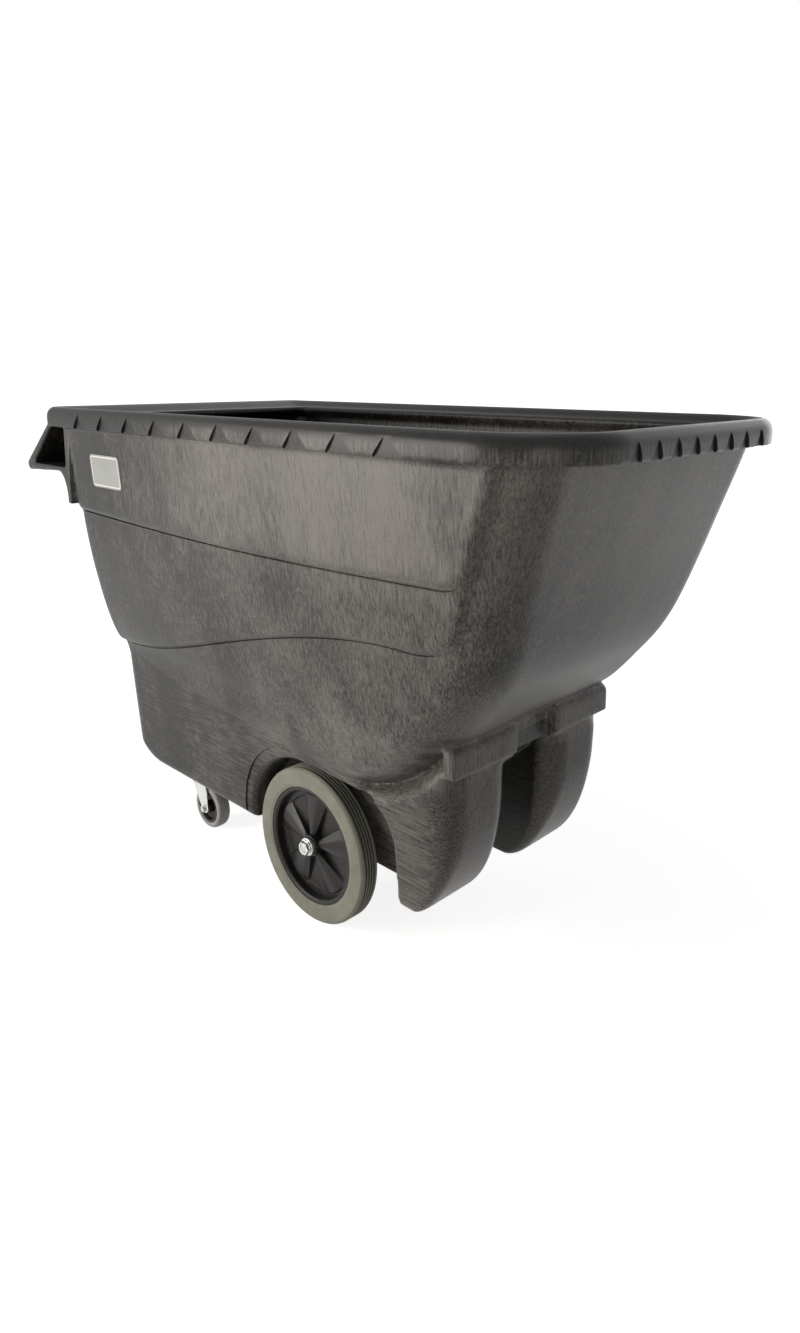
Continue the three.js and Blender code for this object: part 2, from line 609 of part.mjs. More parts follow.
function pads() {
  const outline = roundedRect(PAD.backX, PAD.frontX, -PAD.half, -PAD.innerHalf, PAD.corner);
  const blank = raised(outline, PAD.bottomZ, PAD.topZ);
  const section = [
    [PAD.backX, PAD.bottomZ], [PAD.frontX, PAD.bottomZ],
    ...arc(PAD.frontX - PAD.round, PAD.topZ - PAD.round, PAD.round, 0, 90, FACETS.bead),
    [PAD.backX, PAD.topZ],
  ];
  const near = geometryOf(solidOf(blank).intersect(solidOf(drawnAcross(section, -PAD.half, -PAD.innerHalf))));
  const recess = drawnAcross([
    [TUNNEL.recessX, TUNNEL.ceilingFrontZ - SINK], [PAD.frontX + OVERRUN, TUNNEL.ceilingFrontZ - SINK],
    [PAD.frontX + OVERRUN, TUNNEL.recessZ], [TUNNEL.recessX, TUNNEL.recessZ],
  ], -PAD.innerHalf, PAD.innerHalf);
  return { solids: [near, mirrored(near)], recess };
}

// The channel in the underside that the axle lies in
function axleChannel() {
  const radius = AXLE.radius + FIT.touch;
  const outline = [
    [WHEEL.x + radius, BASE_Z - OVERRUN],
    ...arc(WHEEL.x, AXLE_Z, radius, 0, 180, FACETS.arch),
    [WHEEL.x - radius, BASE_Z - OVERRUN],
  ];
  return drawnAcross(outline, -OUTER_HALF, OUTER_HALF);
}

const screwPlaces = (centreX, centreY, spreadX, spreadY) =>
  [-1, 1].flatMap((i) => [-1, 1].map((j) => [centreX + i * spreadX, centreY + j * spreadY]));

function screwHoles() {
  const radius = SCREW.radius + FIT.touch;
  const top = BASE_Z + SCREW.depth + FIT.touch;
  const places = [-1, 1].flatMap((side) => [
    ...[-1, 1].map((i) => [WHEEL.x + i * SCREW.x, side * SADDLE.y]),
    ...screwPlaces(CASTER.x, side * CASTER.y, PLATE.boltX, PLATE.boltY),
  ]);
  return places.map(([x, y]) => drill(radius, BASE_Z - OVERRUN, top, FACETS.bolt).translate(x, y, 0));
}

function hopper() {
  const { solids, recess } = pads();
  const base = cutAway(solidOf(baseOutside()), [tunnelMouth(), recess]);
  const outside = union([tubOutside(), rim(), handle(), geometryOf(base), ...solids]);
  const cuts = [tubInside(), ...wells(), tunnel(), axleChannel(), ...flutes(), ...screwHoles()];
  return geometryOf(cutAway(outside, cuts));
}

// Main wheels: local +Z points outwards, local origin in the wheel's middle

function tyre() {
  const half = WHEEL.width / 2;
  const crown = half - TYRE.shoulder;
  const pitch = (2 * crown) / (TYRE.grooves + 1);
  const tread = [];
  for (let i = 1; i <= TYRE.grooves; i += 1) {
    const z = -crown + i * pitch;
    const g = TYRE.grooveWidth / 2;
    tread.push([WHEEL.radius, z - g], [WHEEL.radius - TYRE.grooveDepth, z], [WHEEL.radius, z + g]);
  }
  const seat = TYRE.seat + FIT.touch;
  return turned([
    [seat, -half], [WHEEL.radius - TYRE.shoulder, -half],
    [WHEEL.radius, -crown], ...tread, [WHEEL.radius, crown],
    [WHEEL.radius - TYRE.shoulder, half], [seat, half],
  ], FACETS.wheel);
}

// A wedge spoke: a flat crown between two facets that fall to the windows
function spoke() {
  const root = HUB.webZ + HUB.webThick / 2;
  const section = (x, half, crown, high, fall) => [
    [x, -half, root], [x, half, root], [x, half, high - fall], [x, crown, high], [x, -crown, high],
    [x, -half, high - fall],
  ];
  return loft([
    section(HUB.spokeRoot, HUB.spokeRootHalf, HUB.crownRootHalf, HUB.spokeHigh, HUB.spokeRootSide),
    section(HUB.spokeTip, HUB.spokeTipHalf, HUB.crownTipHalf, HUB.spokeLow, HUB.spokeTipSide),
  ]);
}

function hub() {
  const half = HUB.rimWidth / 2;
  const bore = AXLE.radius + FIT.running + BUSH.wall + FIT.touch;
  const inside = TYRE.seat - HUB.rimWall;
  const webTop = HUB.webZ + HUB.webThick;
  const disc = turned([
    [bore, -HUB.bossIn], [HUB.bossRadius, -HUB.bossIn], [HUB.bossRadius, HUB.webZ], [inside, HUB.webZ],
    [inside, -half], [TYRE.seat, -half], [TYRE.seat, half], [inside + HUB.rimBevel, half],
    [inside, webTop], [HUB.bossRadius, webTop], [HUB.bossRadius, HUB.bossOut], [bore, HUB.bossOut],
  ], FACETS.wheel);
  const star = Array.from({ length: spokes }, (_, i) => spoke().rotateZ((i / spokes + 1 / 4) * 2 * Math.PI));
  const boreCut = drill(bore, -OVERRUN, OVERRUN, FACETS.wheel);
  return geometryOf(cutAway(union([disc, ...star]), [boreCut]));
}

// The bushing's two flanges sit on the boss's faces
function bushing() {
  const inner = clearOf(AXLE.radius + FIT.running, FACETS.small);
  const outer = AXLE.radius + FIT.running + BUSH.wall;
  const [low, high] = [-HUB.bossIn - FIT.touch, HUB.bossOut + FIT.touch];
  return turned([
    [inner, low - BUSH.flange], [BUSH.flangeRadius, low - BUSH.flange], [BUSH.flangeRadius, low],
    [outer, low], [outer, high], [BUSH.flangeRadius, high], [BUSH.flangeRadius, high + BUSH.flange],
    [inner, high + BUSH.flange],
  ], FACETS.small);
}

const axleBore = AXLE.radius + FIT.touch;
const bushEnds = [-HUB.bossIn - FIT.touch - BUSH.flange, HUB.bossOut + FIT.touch + BUSH.flange];

function nutOf(flats, bore, z0, z1) {
  return raised(hexagon(flats), z0, z1, [holeAt(0, 0, bore, FACETS.small)]);
}

// Everything on the axle outside the base, as [name, geometry, material]
function wheelPieces() {
  const centre = WHEEL.outerY - WHEEL.width / 2;
  const wallZ = WELL.innerY - centre;
  const washerIn = bushEnds[0] - FIT.touch - WASHER.thick;
  const washerOut = bushEnds[1] + FIT.touch;
  const nutZ = washerOut + WASHER.thick + FIT.touch;
  const onAxle = (outer, z0, z1) => ring(axleBore, outer, z0, z1, FACETS.small);
  return {
    centre,
    turning: [['tyre', tyre(), 'tyre'], ['hub', hub(), 'hub'], ['bushing', bushing(), 'bush']],
    fixed: [
      ['spacer', onAxle(axleBore + SPACER.wall, wallZ + FIT.touch, washerIn - FIT.touch), 'zinc'],
      ['washer_inner', onAxle(WASHER.radius, washerIn, washerIn + WASHER.thick), 'zinc'],
      ['washer_outer', onAxle(WASHER.radius, washerOut, washerOut + WASHER.thick), 'zinc'],
      ['axle_nut', nutOf(NUT.acrossFlats, axleBore, nutZ, nutZ + NUT.thick), 'zinc'],
    ],
  };
}

function axle() {
  const r = AXLE.radius;
  const end = AXLE.endY;
  return turned([
    [0, -end], [r - AXLE.chamfer, -end], [r, -end + AXLE.chamfer],
    [r, end - AXLE.chamfer], [r - AXLE.chamfer, end], [0, end],
  ], FACETS.small).rotateX(Math.PI / 2);
}

function saddle(side) {
  const holes = [-1, 1].map((i) => holeAt(i * SCREW.x, 0, SCREW.radius + FIT.touch));
  const half = [SADDLE.length / 2, SADDLE.width / 2];
  const top = BASE_Z - FIT.touch;
  const outline = roundedRect(-half[0], half[0], -half[1], half[1], SADDLE.corner);
  return raised(outline, top - SADDLE.thick, top, holes).translate(WHEEL.x, side * SADDLE.y, 0);
}

// A hex screw whose head bears on a plate under the base
function screw(x, y, bearingZ) {
  const head = raised(hexagon(SCREW.headFlats), bearingZ - SCREW.head, bearingZ);
  const shank = turned([
    [0, bearingZ - SCREW.head / 2], [SCREW.radius, bearingZ - SCREW.head / 2],
    [SCREW.radius, BASE_Z + SCREW.depth], [0, BASE_Z + SCREW.depth],
  ], FACETS.bolt);
  return geometryOf(union([head, shank])).translate(x, y, 0);
}

// Casters: local origin on the floor below the swivel axis

const plateTop = BASE_Z - FIT.touch;
const plateLow = plateTop - PLATE.thick;
const raceTop = plateLow - FIT.touch;
const raceLow = raceTop - RACE.thick;
const ballZ = raceLow - RACE.ball / 4;
const crownTop = ballZ - RACE.ball - FIT.touch;
const crownLow = crownTop - FORK.crown;
const casterAxleZ = CASTER.wheelRadius;
const pinRadius = SLEEVE.inner - FIT.running;
const legOuter = FORK.halfOuter + FIT.touch;

function casterPlate() {
  const half = [PLATE.length / 2, PLATE.width / 2];
  const holes = screwPlaces(0, 0, PLATE.boltX, PLATE.boltY)
    .map(([x, y]) => holeAt(x, y, SCREW.radius + FIT.touch));
  const outline = roundedRect(-half[0], half[0], -half[1], half[1], PLATE.corner);
  const blank = raised(outline, plateLow, plateTop, holes);
  const seat = clearOf(KINGPIN.headRadius + FIT.touch, FACETS.small);
  const hole = clearOf(KINGPIN.radius + FIT.touch, FACETS.small);
  const shelf = plateTop - KINGPIN.head - FIT.touch;
  const bore = turned([
    [0, plateLow - OVERRUN], [hole, plateLow - OVERRUN], [hole, shelf],
    [seat, shelf], [seat, plateTop + OVERRUN], [0, plateTop + OVERRUN],
  ], FACETS.small);
  return geometryOf(cutAway(solidOf(blank), [bore]));
}

function kingpin() {
  const head = plateTop - FIT.touch / 2;
  const low = crownLow - KINGPIN.nut - KINGPIN.head;
  return turned([
    [0, low], [KINGPIN.radius, low], [KINGPIN.radius, head - KINGPIN.head],
    [KINGPIN.headRadius, head - KINGPIN.head], [KINGPIN.headRadius, head], [0, head],
  ], FACETS.small);
}

// The race holds a full ring of balls that the fork's crown turns on
function swivelRace() {
  const race = turned([
    [RACE.inner, raceLow], [RACE.outer - RACE.lip, raceLow], [RACE.outer - RACE.lip, ballZ],
    [RACE.outer, ballZ], [RACE.outer, raceTop], [RACE.inner, raceTop],
  ], FACETS.caster);
  const ball = (i) => {
    const angle = (i / balls) * 2 * Math.PI;
    return new THREE.IcosahedronGeometry(RACE.ball, 0)
      .translate(RACE.ballPitch * Math.cos(angle), RACE.ballPitch * Math.sin(angle), ballZ);
  };
  return geometryOf(union([race, ...Array.from({ length: balls }, (_, i) => ball(i))]));
}

// The fork's crown and its two legs, which taper down to the wheel's axle
function fork() {
  const crown = turned([
    [0, crownLow], [FORK.crownRadius, crownLow], [FORK.crownRadius, crownTop], [0, crownTop],
  ], FACETS.caster);
  const foot = arc(CASTER.trail, casterAxleZ, FORK.footRadius, FORK.footFrom, FORK.footTo);
  const top = [
    [CASTER.trail + FORK.footRadius - FORK.leg, lerp(casterAxleZ, crownTop, 1 / 2)],
    [FORK.legTopHalf, crownLow - FORK.crown],
    [FORK.legTopHalf, crownTop], [-FORK.legTopHalf, crownTop],
    [-FORK.legTopHalf, crownLow - FORK.crown],
  ];
  const outline = [...foot, ...top];
  const leg = drawnAcross(outline, -FORK.halfOuter, -FORK.halfOuter + FORK.leg);
  const deck = roundedRect(-FORK.legTopHalf, FORK.legTopHalf, -FORK.halfOuter, FORK.halfOuter, FORK.leg);
  const bridge = raised(deck, crownLow, crownTop);
  const body = union([crown, leg, mirrored(leg), bridge]);
  const across = drill(pinRadius + FIT.touch, -OVERRUN, OVERRUN, FACETS.bolt)
    .rotateX(Math.PI / 2).translate(CASTER.trail, 0, casterAxleZ);
  const down = drill(KINGPIN.radius + FIT.running, 0, plateTop, FACETS.small);
  return geometryOf(cutAway(body, [across, down]));
}

// The caster wheel is turned about local Z, then laid across
function casterCore() {
  const [half, boss, web] = [CORE.width / 2, CORE.boss / 2, CORE.web / 2];
  const bore = SLEEVE.inner + SLEEVE.wall + FIT.touch;
  const inside = CORE.rimRadius - CORE.rimWall;
  return turned([
    [bore, -boss], [CORE.bossRadius, -boss], [CORE.bossRadius, -web], [inside, -web], [inside, -half],
    [CORE.rimRadius, -half], [CORE.rimRadius, half], [inside, half], [inside, web], [CORE.bossRadius, web],
    [CORE.bossRadius, boss], [bore, boss],
  ], FACETS.caster);
}

function casterTread() {
  const half = TREAD.width / 2;
  const seat = CORE.rimRadius + FIT.touch;
  return turned([
    [seat, -half], [CASTER.wheelRadius - TREAD.edge, -half], [CASTER.wheelRadius, -half + TREAD.edge],
    [CASTER.wheelRadius, half - TREAD.edge], [CASTER.wheelRadius - TREAD.edge, half], [seat, half],
  ], FACETS.caster);
}

function casterBolt() {
  const end = legOuter + PIN.nut + PIN.thread;
  const head = raised(hexagon(PIN.headFlats), legOuter, legOuter + PIN.head);
  const inHead = legOuter + PIN.head / 2;
  const shank = turned([[0, -end], [pinRadius, -end], [pinRadius, inHead], [0, inHead]], FACETS.bolt);
  return geometryOf(union([head, shank]));
}

function casterPieces() {
  const bearing = crownLow - FIT.touch;
  const pinBore = KINGPIN.radius + FIT.touch;
  const kingpinNut = nutOf(KINGPIN.nutFlats, pinBore, bearing - KINGPIN.nut, bearing);
  const boltNut = nutOf(PIN.headFlats, pinRadius + FIT.touch, -legOuter - PIN.nut, -legOuter);
  const sleeveHalf = FORK.halfOuter - FORK.leg - FIT.touch;
  const sleeveOuter = SLEEVE.inner + SLEEVE.wall - FIT.touch;
  const sleeve = ring(pinRadius + FIT.touch, sleeveOuter, -sleeveHalf, sleeveHalf, FACETS.small);
  const across = (geometry) => outward(geometry, 1).translate(CASTER.trail, 0, casterAxleZ);
  return {
    fixed: [
      ['plate', casterPlate(), 'zinc'],
      ...screwPlaces(0, 0, PLATE.boltX, PLATE.boltY)
        .map(([x, y], i) => [`screw_${i + 1}`, screw(x, y, plateLow - FIT.touch), 'zinc']),
      ['kingpin', kingpin(), 'steel'],
      ['kingpin_nut', kingpinNut, 'zinc'],
      ['race', swivelRace(), 'zinc'],
    ],
    swivel: [
      ['fork', fork(), 'zinc'],
      ['bolt', across(casterBolt()), 'zinc'],
      ['bolt_nut', across(boltNut), 'zinc'],
      ['sleeve', across(sleeve), 'steel'],
    ],
    turning: [
      ['core', across(casterCore()), 'hub'],
      ['tread', across(casterTread()), 'tread'],
    ],
  };
}

// Assembly

// Each material's roughness and metalness
const FINISH = {
  moulding: [0.55, 0], tyre: [0.75, 0], hub: [0.4, 0], zinc: [0.3, 1], steel: [0.35, 1], bush: [0.5, 0],
  tread: [0.7, 0],
};

function meshOf(name, geometry, slot) {
  const [roughness, metalness] = FINISH[slot];
  const material = new THREE.MeshStandardMaterial({ color: COLOURS[slot], roughness, metalness });
  const mesh = new THREE.Mesh(geometry, material);
  mesh.name = name;
  return mesh;
}

const truck = new THREE.Group();
truck.add(meshOf('hopper', hopper(), 'moulding'));
const axleMesh = meshOf('axle', axle(), 'steel');
axleMesh.position.set(WHEEL.x, 0, AXLE_Z);
truck.add(axleMesh);

for (const [end, side] of [['right', -1], ['left', 1]]) {
  truck.add(meshOf(`axle_saddle_${end}`, saddle(side), 'zinc'));
  const bearing = BASE_Z - FIT.touch - SADDLE.thick - FIT.touch;
  [-1, 1].forEach((i, k) => {
    const one = screw(WHEEL.x + i * SCREW.x, side * SADDLE.y, bearing);
    truck.add(meshOf(`axle_saddle_${end}_screw_${k + 1}`, one, 'zinc'));
  });

  const wheel = new THREE.Group();
  const { centre, turning, fixed } = wheelPieces();
  wheel.position.set(WHEEL.x, side * centre, AXLE_Z);
  wheel.rotation.x = side * -Math.PI / 2;
  for (const [name, geometry, slot] of [...turning, ...fixed]) {
    wheel.add(meshOf(`wheel_${end}_${name}`, geometry, slot));
  }
  truck.add(wheel);

  const caster = new THREE.Group();
  caster.position.set(CASTER.x, side * CASTER.y, 0);
  const pieces = casterPieces();
  for (const [name, geometry, slot] of [...pieces.fixed, ...pieces.swivel, ...pieces.turning]) {
    caster.add(meshOf(`caster_${end}_${name}`, geometry, slot));
  }
  truck.add(caster);
}

export default truck;
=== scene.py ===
"""Looks of the moulded tilt truck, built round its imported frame. Metres; +X is the dump end, +Z is up."""

import json
import math

import bmesh
import bpy
import numpy as np
from mathutils import Matrix, Vector


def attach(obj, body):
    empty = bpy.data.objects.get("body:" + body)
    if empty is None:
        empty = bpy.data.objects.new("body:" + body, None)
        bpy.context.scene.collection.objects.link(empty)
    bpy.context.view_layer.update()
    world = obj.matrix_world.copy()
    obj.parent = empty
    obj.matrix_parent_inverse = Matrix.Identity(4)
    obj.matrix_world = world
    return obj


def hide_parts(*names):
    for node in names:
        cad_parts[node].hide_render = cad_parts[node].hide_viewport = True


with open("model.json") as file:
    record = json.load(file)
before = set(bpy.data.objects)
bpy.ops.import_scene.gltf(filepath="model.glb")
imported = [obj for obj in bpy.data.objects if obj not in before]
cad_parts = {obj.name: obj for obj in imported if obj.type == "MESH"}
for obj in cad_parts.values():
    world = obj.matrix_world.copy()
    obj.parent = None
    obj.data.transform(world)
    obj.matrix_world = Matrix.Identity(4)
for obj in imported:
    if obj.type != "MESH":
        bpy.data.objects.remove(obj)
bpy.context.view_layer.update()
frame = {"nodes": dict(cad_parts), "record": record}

# The photograph's camera, and its frame's offset
CAMERA_PLACE = (1.3578, -1.2226, 1.0531)
CAMERA_TURN = (math.radians(80.65), 0.0, math.radians(44.5))
CAMERA_LENS = 24.19
CAMERA_SHIFT = (-0.0023, -0.1093)


# Shader graphs

class Signal:
    """A shader output that arithmetic works on: an expression adds its Math nodes."""

    def __init__(self, finish, socket):
        self.finish = finish
        self.socket = socket

    def _math(self, operation, first, second):
        return self.finish.node("Math", {"operation": operation}, {0: first, 1: second})

    def __add__(self, other):
        return self._math("ADD", self, other)

    def __radd__(self, other):
        return self._math("ADD", other, self)

    def __sub__(self, other):
        return self._math("SUBTRACT", self, other)

    def __rsub__(self, other):
        return self._math("SUBTRACT", other, self)

    def __mul__(self, other):
        return self._math("MULTIPLY", self, other)

    def __rmul__(self, other):
        return self._math("MULTIPLY", other, self)


class Finish:
    """One material, or the world, and the nodes that make its surface."""

    def __init__(self, name, owner=None):
        self.material = owner or bpy.data.materials.new(name)
        self.material.use_nodes = True
        self.tree = self.material.node_tree
        self.tree.nodes.clear()
        self.place = self.node("TexCoord", output="Object")

    def node(self, kind, settings=None, sockets=None, output=0):
        """Adds a node; settings are set first, then values or links go to its sockets."""
        node = self.tree.nodes.new("ShaderNode" + kind)
        for key, value in (settings or {}).items():
            setattr(node, key, value)
        for key, value in (sockets or {}).items():
            if isinstance(value, Signal):
                self.tree.links.new(value.socket, node.inputs[key])
            else:
                node.inputs[key].default_value = value
        return Signal(self, node.outputs[output]) if node.outputs else None

    def stretched(self, scale):
        """Object coordinates, scaled by axis."""
        return self.node("VectorMath", {"operation": "MULTIPLY"}, {0: self.place, 1: scale})

    def noise(self, scale, detail=3.0, roughness=0.5, distortion=0.0):
        """Noise from 0 to 1 whose grain has these repeats a metre along each axis."""
        return self.node("TexNoise", {"noise_dimensions": "3D"}, {
            "Vector": self.stretched(scale), "Scale": 1.0, "Detail": detail,
            "Roughness": roughness, "Distortion": distortion,
        })

    def between(self, value, low, high):
        """0 below low, 1 above high, smooth between."""
        return self.node("MapRange", {"interpolation_type": "SMOOTHSTEP"}, {
            "Value": value, "From Min": low, "From Max": high, "To Min": 0.0, "To Max": 1.0,
        })

    def mixed(self, share, first, second):
        """A colour between two colours."""
        return self.node("Mix", {"data_type": "RGBA"}, {0: share, 6: rgba(first), 7: rgba(second)}, 2)

    def surface(self, sockets, height=None, depth=0.0):
        """Ends the graph in the shader, with the height as a bump."""
        if height is not None:
            sockets = {**sockets, "Normal": self.node("Bump", {}, {
                "Height": height, "Distance": depth, "Strength": 1.0,
            })}
        shader = self.node("BsdfPrincipled", {}, sockets)
        self.node("OutputMaterial", {}, {"Surface": shader})
        return self.material


def tone(colour, shade):
    return tuple(part * shade for part in colour)


def rgba(colour):
    return colour if isinstance(colour, Signal) else (*colour, 1.0)


def moulding_finish(name, shade=1.0):
    """Moulded black plastic: streaks, cloudy patches and scuffs, with painted light that makes it paler to the
    front and on the upper panel, and painted shade that darkens the dump end, the skirt and the rim.
    """
    f = Finish(name)
    length = f.node("SeparateXYZ", {}, {0: f.place}, 0)
    height = f.node("SeparateXYZ", {}, {0: f.place}, 2)
    upright = f.noise((330.0, 330.0, 13.0), 4.0, 0.8)
    level = f.noise((16.0, 330.0, 360.0), 4.0, 0.8)
    low = 1.0 - f.between(height, 0.35, 0.42)
    rim = f.between(height, 0.953, 0.966)
    streaks = upright * (1.0 - low) + level * low
    cloud = f.noise((7.0, 7.0, 4.5), 6.0, 0.68, 0.6)
    bands = f.noise((9.0, 9.0, 0.9), 2.0, 0.5)
    speck = f.noise((700.0, 700.0, 500.0), 2.0, 0.6)
    scuffs = f.noise((34.0, 34.0, 24.0), 9.0, 0.8, 1.4)
    ledge = f.between(height, 0.37, 0.40) * (1.0 - f.between(height, 0.46, 0.50))
    ledge = ledge * f.between(length, 0.0, 0.3)
    worn = f.between(scuffs + ledge * 0.13, 0.55, 0.68)
    # Painted light and shade: paler towards the front and on the upper panel, darker on the dump end and the
    # skirt, as the light falls on them.
    nose = f.between(length, 0.42, 0.62)
    front = f.between(length, -0.42, 0.12) * 0.7 + f.between(length, 0.1, 0.5) * 0.3
    upper = f.between(height, 0.70, 0.80) * (1.0 - nose * 0.7)
    skirt = f.between(height, 0.925, 0.945)
    grain = streaks * 0.50 + cloud * 0.22 + bands * 0.10 + speck * 0.18
    painted_light_and_shade = front * (0.40 + upper * 0.54) - skirt * 0.34 - nose * 0.12
    share = f.node("Clamp", {}, {0: (grain - 0.5) * (4.8 + front * 1.8) + painted_light_and_shade + 0.03})
    plain = f.mixed(share, tone((0.0085, 0.008, 0.007), shade), tone((0.17, 0.157, 0.142), shade))
    rubbed = f.mixed(worn * 0.38, plain, tone((0.24, 0.231, 0.214), shade))
    # Painted shade: the rim is painted near black, standing in for the dark reflection on its top.
    colour = f.mixed(rim * 0.88, rubbed, (0.0135, 0.013, 0.0125))
    rough = 0.24 + cloud * 0.10 + streaks * 0.14 + worn * 0.1
    return f.surface({
        "Base Color": colour, "Roughness": rough, "Specular IOR Level": 0.22,
    }, (streaks * 0.75 + speck * 0.25) * (1.0 - rim * 0.8), 0.00025)


def rubber_finish(name, dark, light):
    f = Finish(name)
    speck = f.noise((900.0, 900.0, 900.0), 2.0, 0.5)
    cloud = f.noise((22.0, 22.0, 22.0), 4.0, 0.6)
    colour = f.mixed(f.between(cloud, 0.3, 0.7), dark, light)
    return f.surface({"Base Color": colour, "Roughness": 0.6 + cloud * 0.2}, speck, 0.0001)


def tyre_finish():
    """Grey rubber, with painted shade that keeps the tread's grooves dark."""
    f = Finish("tyre_rubber")
    speck = f.noise((900.0, 900.0, 900.0), 2.0, 0.5)
    cloud = f.noise((22.0, 22.0, 22.0), 4.0, 0.6)
    flat, middle = (1.0, 0.0, 1.0), (-WHEEL_X * MM, 0.0, -WHEEL_RADIUS * MM)
    reach = f.node("VectorMath", {"operation": "MULTIPLY_ADD"}, {0: f.place, 1: flat, 2: middle})
    radius = f.node("VectorMath", {"operation": "LENGTH"}, {0: reach}, 1)
    outwards = f.node("Math", {"operation": "ABSOLUTE"}, {0: f.node("SeparateXYZ", {}, {0: f.place}, 1)})
    aside = f.node("Math", {"operation": "ABSOLUTE"}, {0: outwards - WHEEL_Y * MM})
    outer, bottom = WHEEL_RADIUS * MM, (WHEEL_RADIUS - GROOVE_DEPTH) * MM
    crown = (TYRE_WIDTH / 2 - TYRE_SHOULDER) * MM
    # Painted shade: the grooves' floors are painted near black, where shade falls.
    groove_shade = f.between(radius, bottom - 0.0009, bottom - 0.0005)
    groove_shade = groove_shade * (1.0 - f.between(radius, outer - 0.0014, outer - 0.0004))
    groove_shade = groove_shade * (1.0 - f.between(aside, crown - 0.0005, crown + 0.0002))
    worn = f.mixed(f.between(cloud, 0.3, 0.7), (0.173, 0.173, 0.135), (0.243, 0.24, 0.192))
    colour = f.mixed(groove_shade * 0.85, worn, (0.018, 0.018, 0.015))
    return f.surface({"Base Color": colour, "Roughness": 0.6 + cloud * 0.2}, speck, 0.0001)


def hub_finish():
    f = Finish("hub_plastic")
    cloud = f.noise((30.0, 30.0, 30.0), 3.0, 0.5)
    colour = f.mixed(cloud, (0.0075, 0.0068, 0.0065), (0.0195, 0.018, 0.0172))
    return f.surface({"Base Color": colour, "Roughness": 0.30 + cloud * 0.18, "Specular IOR Level": 0.26})


def metal_finish(name, dark, light, rough):
    f = Finish(name)
    cloud = f.noise((60.0, 60.0, 60.0), 3.0, 0.6)
    colour = f.mixed(cloud, dark, light)
    return f.surface({"Base Color": colour, "Metallic": 1.0, "Roughness": rough + cloud * 0.15})


def film_finish():
    f = Finish("label_film")
    cloud = f.noise((40.0, 40.0, 40.0), 3.0, 0.6)
    colour = f.mixed(cloud, (0.255, 0.262, 0.255), (0.345, 0.352, 0.342))
    return f.surface({"Base Color": colour, "Roughness": 0.3 + cloud * 0.15})


def bush_finish():
    f = Finish("bearing_plastic")
    cloud = f.noise((80.0, 80.0, 80.0), 3.0, 0.6)
    colour = f.mixed(cloud, (0.66, 0.64, 0.57), (0.78, 0.76, 0.7))
    return f.surface({"Base Color": colour, "Roughness": 0.45})


# Hopper, in millimetres until its solids are made

MM = 0.001
OVERRUN = 40.0
SINK = 6.0

LENGTH, WIDTH, HEIGHT = 1533.0, 711.0, 981.0
END_X, OUTER_HALF = LENGTH / 2, WIDTH / 2

TUB_FLOOR_Z, TUB_TOP_Z = 336.0, 965.0
TUB_REAR_X, TUB_FLOOR_FRONT_X, TUB_TOP_FRONT_X = -548.0, 285.0, 719.0
TUB_FLOOR_HALF, TUB_FLOOR_HALF_REAR, TUB_TOP_HALF = 205.0, 196.0, 332.0
TUB_CORNER_REAR, TUB_CORNER_TOP, TUB_CORNER_FLOOR = 42.0, 72.0, 96.0
TUB_WALL, TUB_FLOOR = 9.0, 12.0
# The tub's wall from floor to top: shares of height, front reach, width and rear width
TUB_ROWS = np.array([
    (0, 0, 0, 0), (0.014, 0.069, 0.15, 0.059), (0.035, 0.141, 0.228, 0.118), (0.076, 0.242, 0.299, 0.191),
    (0.119, 0.311, 0.354, 0.243), (0.159, 0.371, 0.409, 0.294), (0.205, 0.436, 0.472, 0.397),
    (0.256, 0.523, 0.528, 0.485), (0.34, 0.624, 0.598, 0.596), (0.415, 0.703, 0.669, 0.676),
    (0.491, 0.758, 0.732, 0.75), (0.639, 0.832, 0.843, 0.853), (0.784, 0.901, 0.906, 0.912),
    (0.924, 0.968, 0.969, 0.971), (1, 1, 1, 1),
])
ROW_STEP = 4.0
SIDE_PLACES = np.linspace(0.0, 1.0, 110)
ACROSS_PLACES = np.linspace(0.0, 1.0, 30)
CORNER_STEPS = 24

# Raised side panels: the lower edge is a wave, the upper step nearly straight
PANEL_RISE, PANEL_UPPER, PANEL_EDGE = 9.0, 7.0, 4.5
WAVE_REAR_Z, WAVE_FRONT_Z, WAVE_END = 445.0, 645.0, 0.93
STEP_Z, STEP_SAG = 760.0, 12.0
PANEL_END_TURN, PANEL_END_SOFT, WAVE_CORNER, STEP_CORNER = math.radians(12.0), 0.55, 46.0, 26.0
CREASE, CREASE_TURN, CREASE_TILT, CREASE_STEPS = 1.3, 62.0, 1.4, 150

SKIRT_Z, SKIRT_WALL, SKIRT_DRAFT = 938.0, 12.0, 1.5
RIM_REAR_X, RIM_CORNER_FRONT, RIM_CORNER_REAR = -627.0, 152.0, 36.0
RIM_BEAD, RIM_DROP, RIM_EDGE, RIM_LIP, RIM_UNDER = 23.0, 21.0, 9.0, 20.0, 8.0

FLUTE_DEPTH, FLUTE_BASE, FLUTE_TIP, FLUTE_HIGH = 6.0, 66.0, 11.0, 29.0
FLUTE_PROUD, FLUTE_SKIN, FLUTE_SLACK, FLUTE_MARGIN = 2.0, 1.4, 0.4, 0.5
FLUTE_SIDE_PITCH, FLUTE_FRONT_PITCH, FLUTE_FIRST_X = 102.0, 54.0, -497.0
FLUTES_SIDE, FLUTES_FRONT = 10, 8

HANDLE_HALF, CREST_X, NOSE_Z, NOSE_RADIUS, PLATE = 335.0, -612.0, 842.0, 13.0, 11.0
ROOT_Z, HOLLOW_TOP_Z, HOLLOW_FRONT_X = 836.0, 934.0, -568.0
NOSE_BACK, FILLET_OUT, FILLET_DOWN = 6.0, 44.0, 70.0

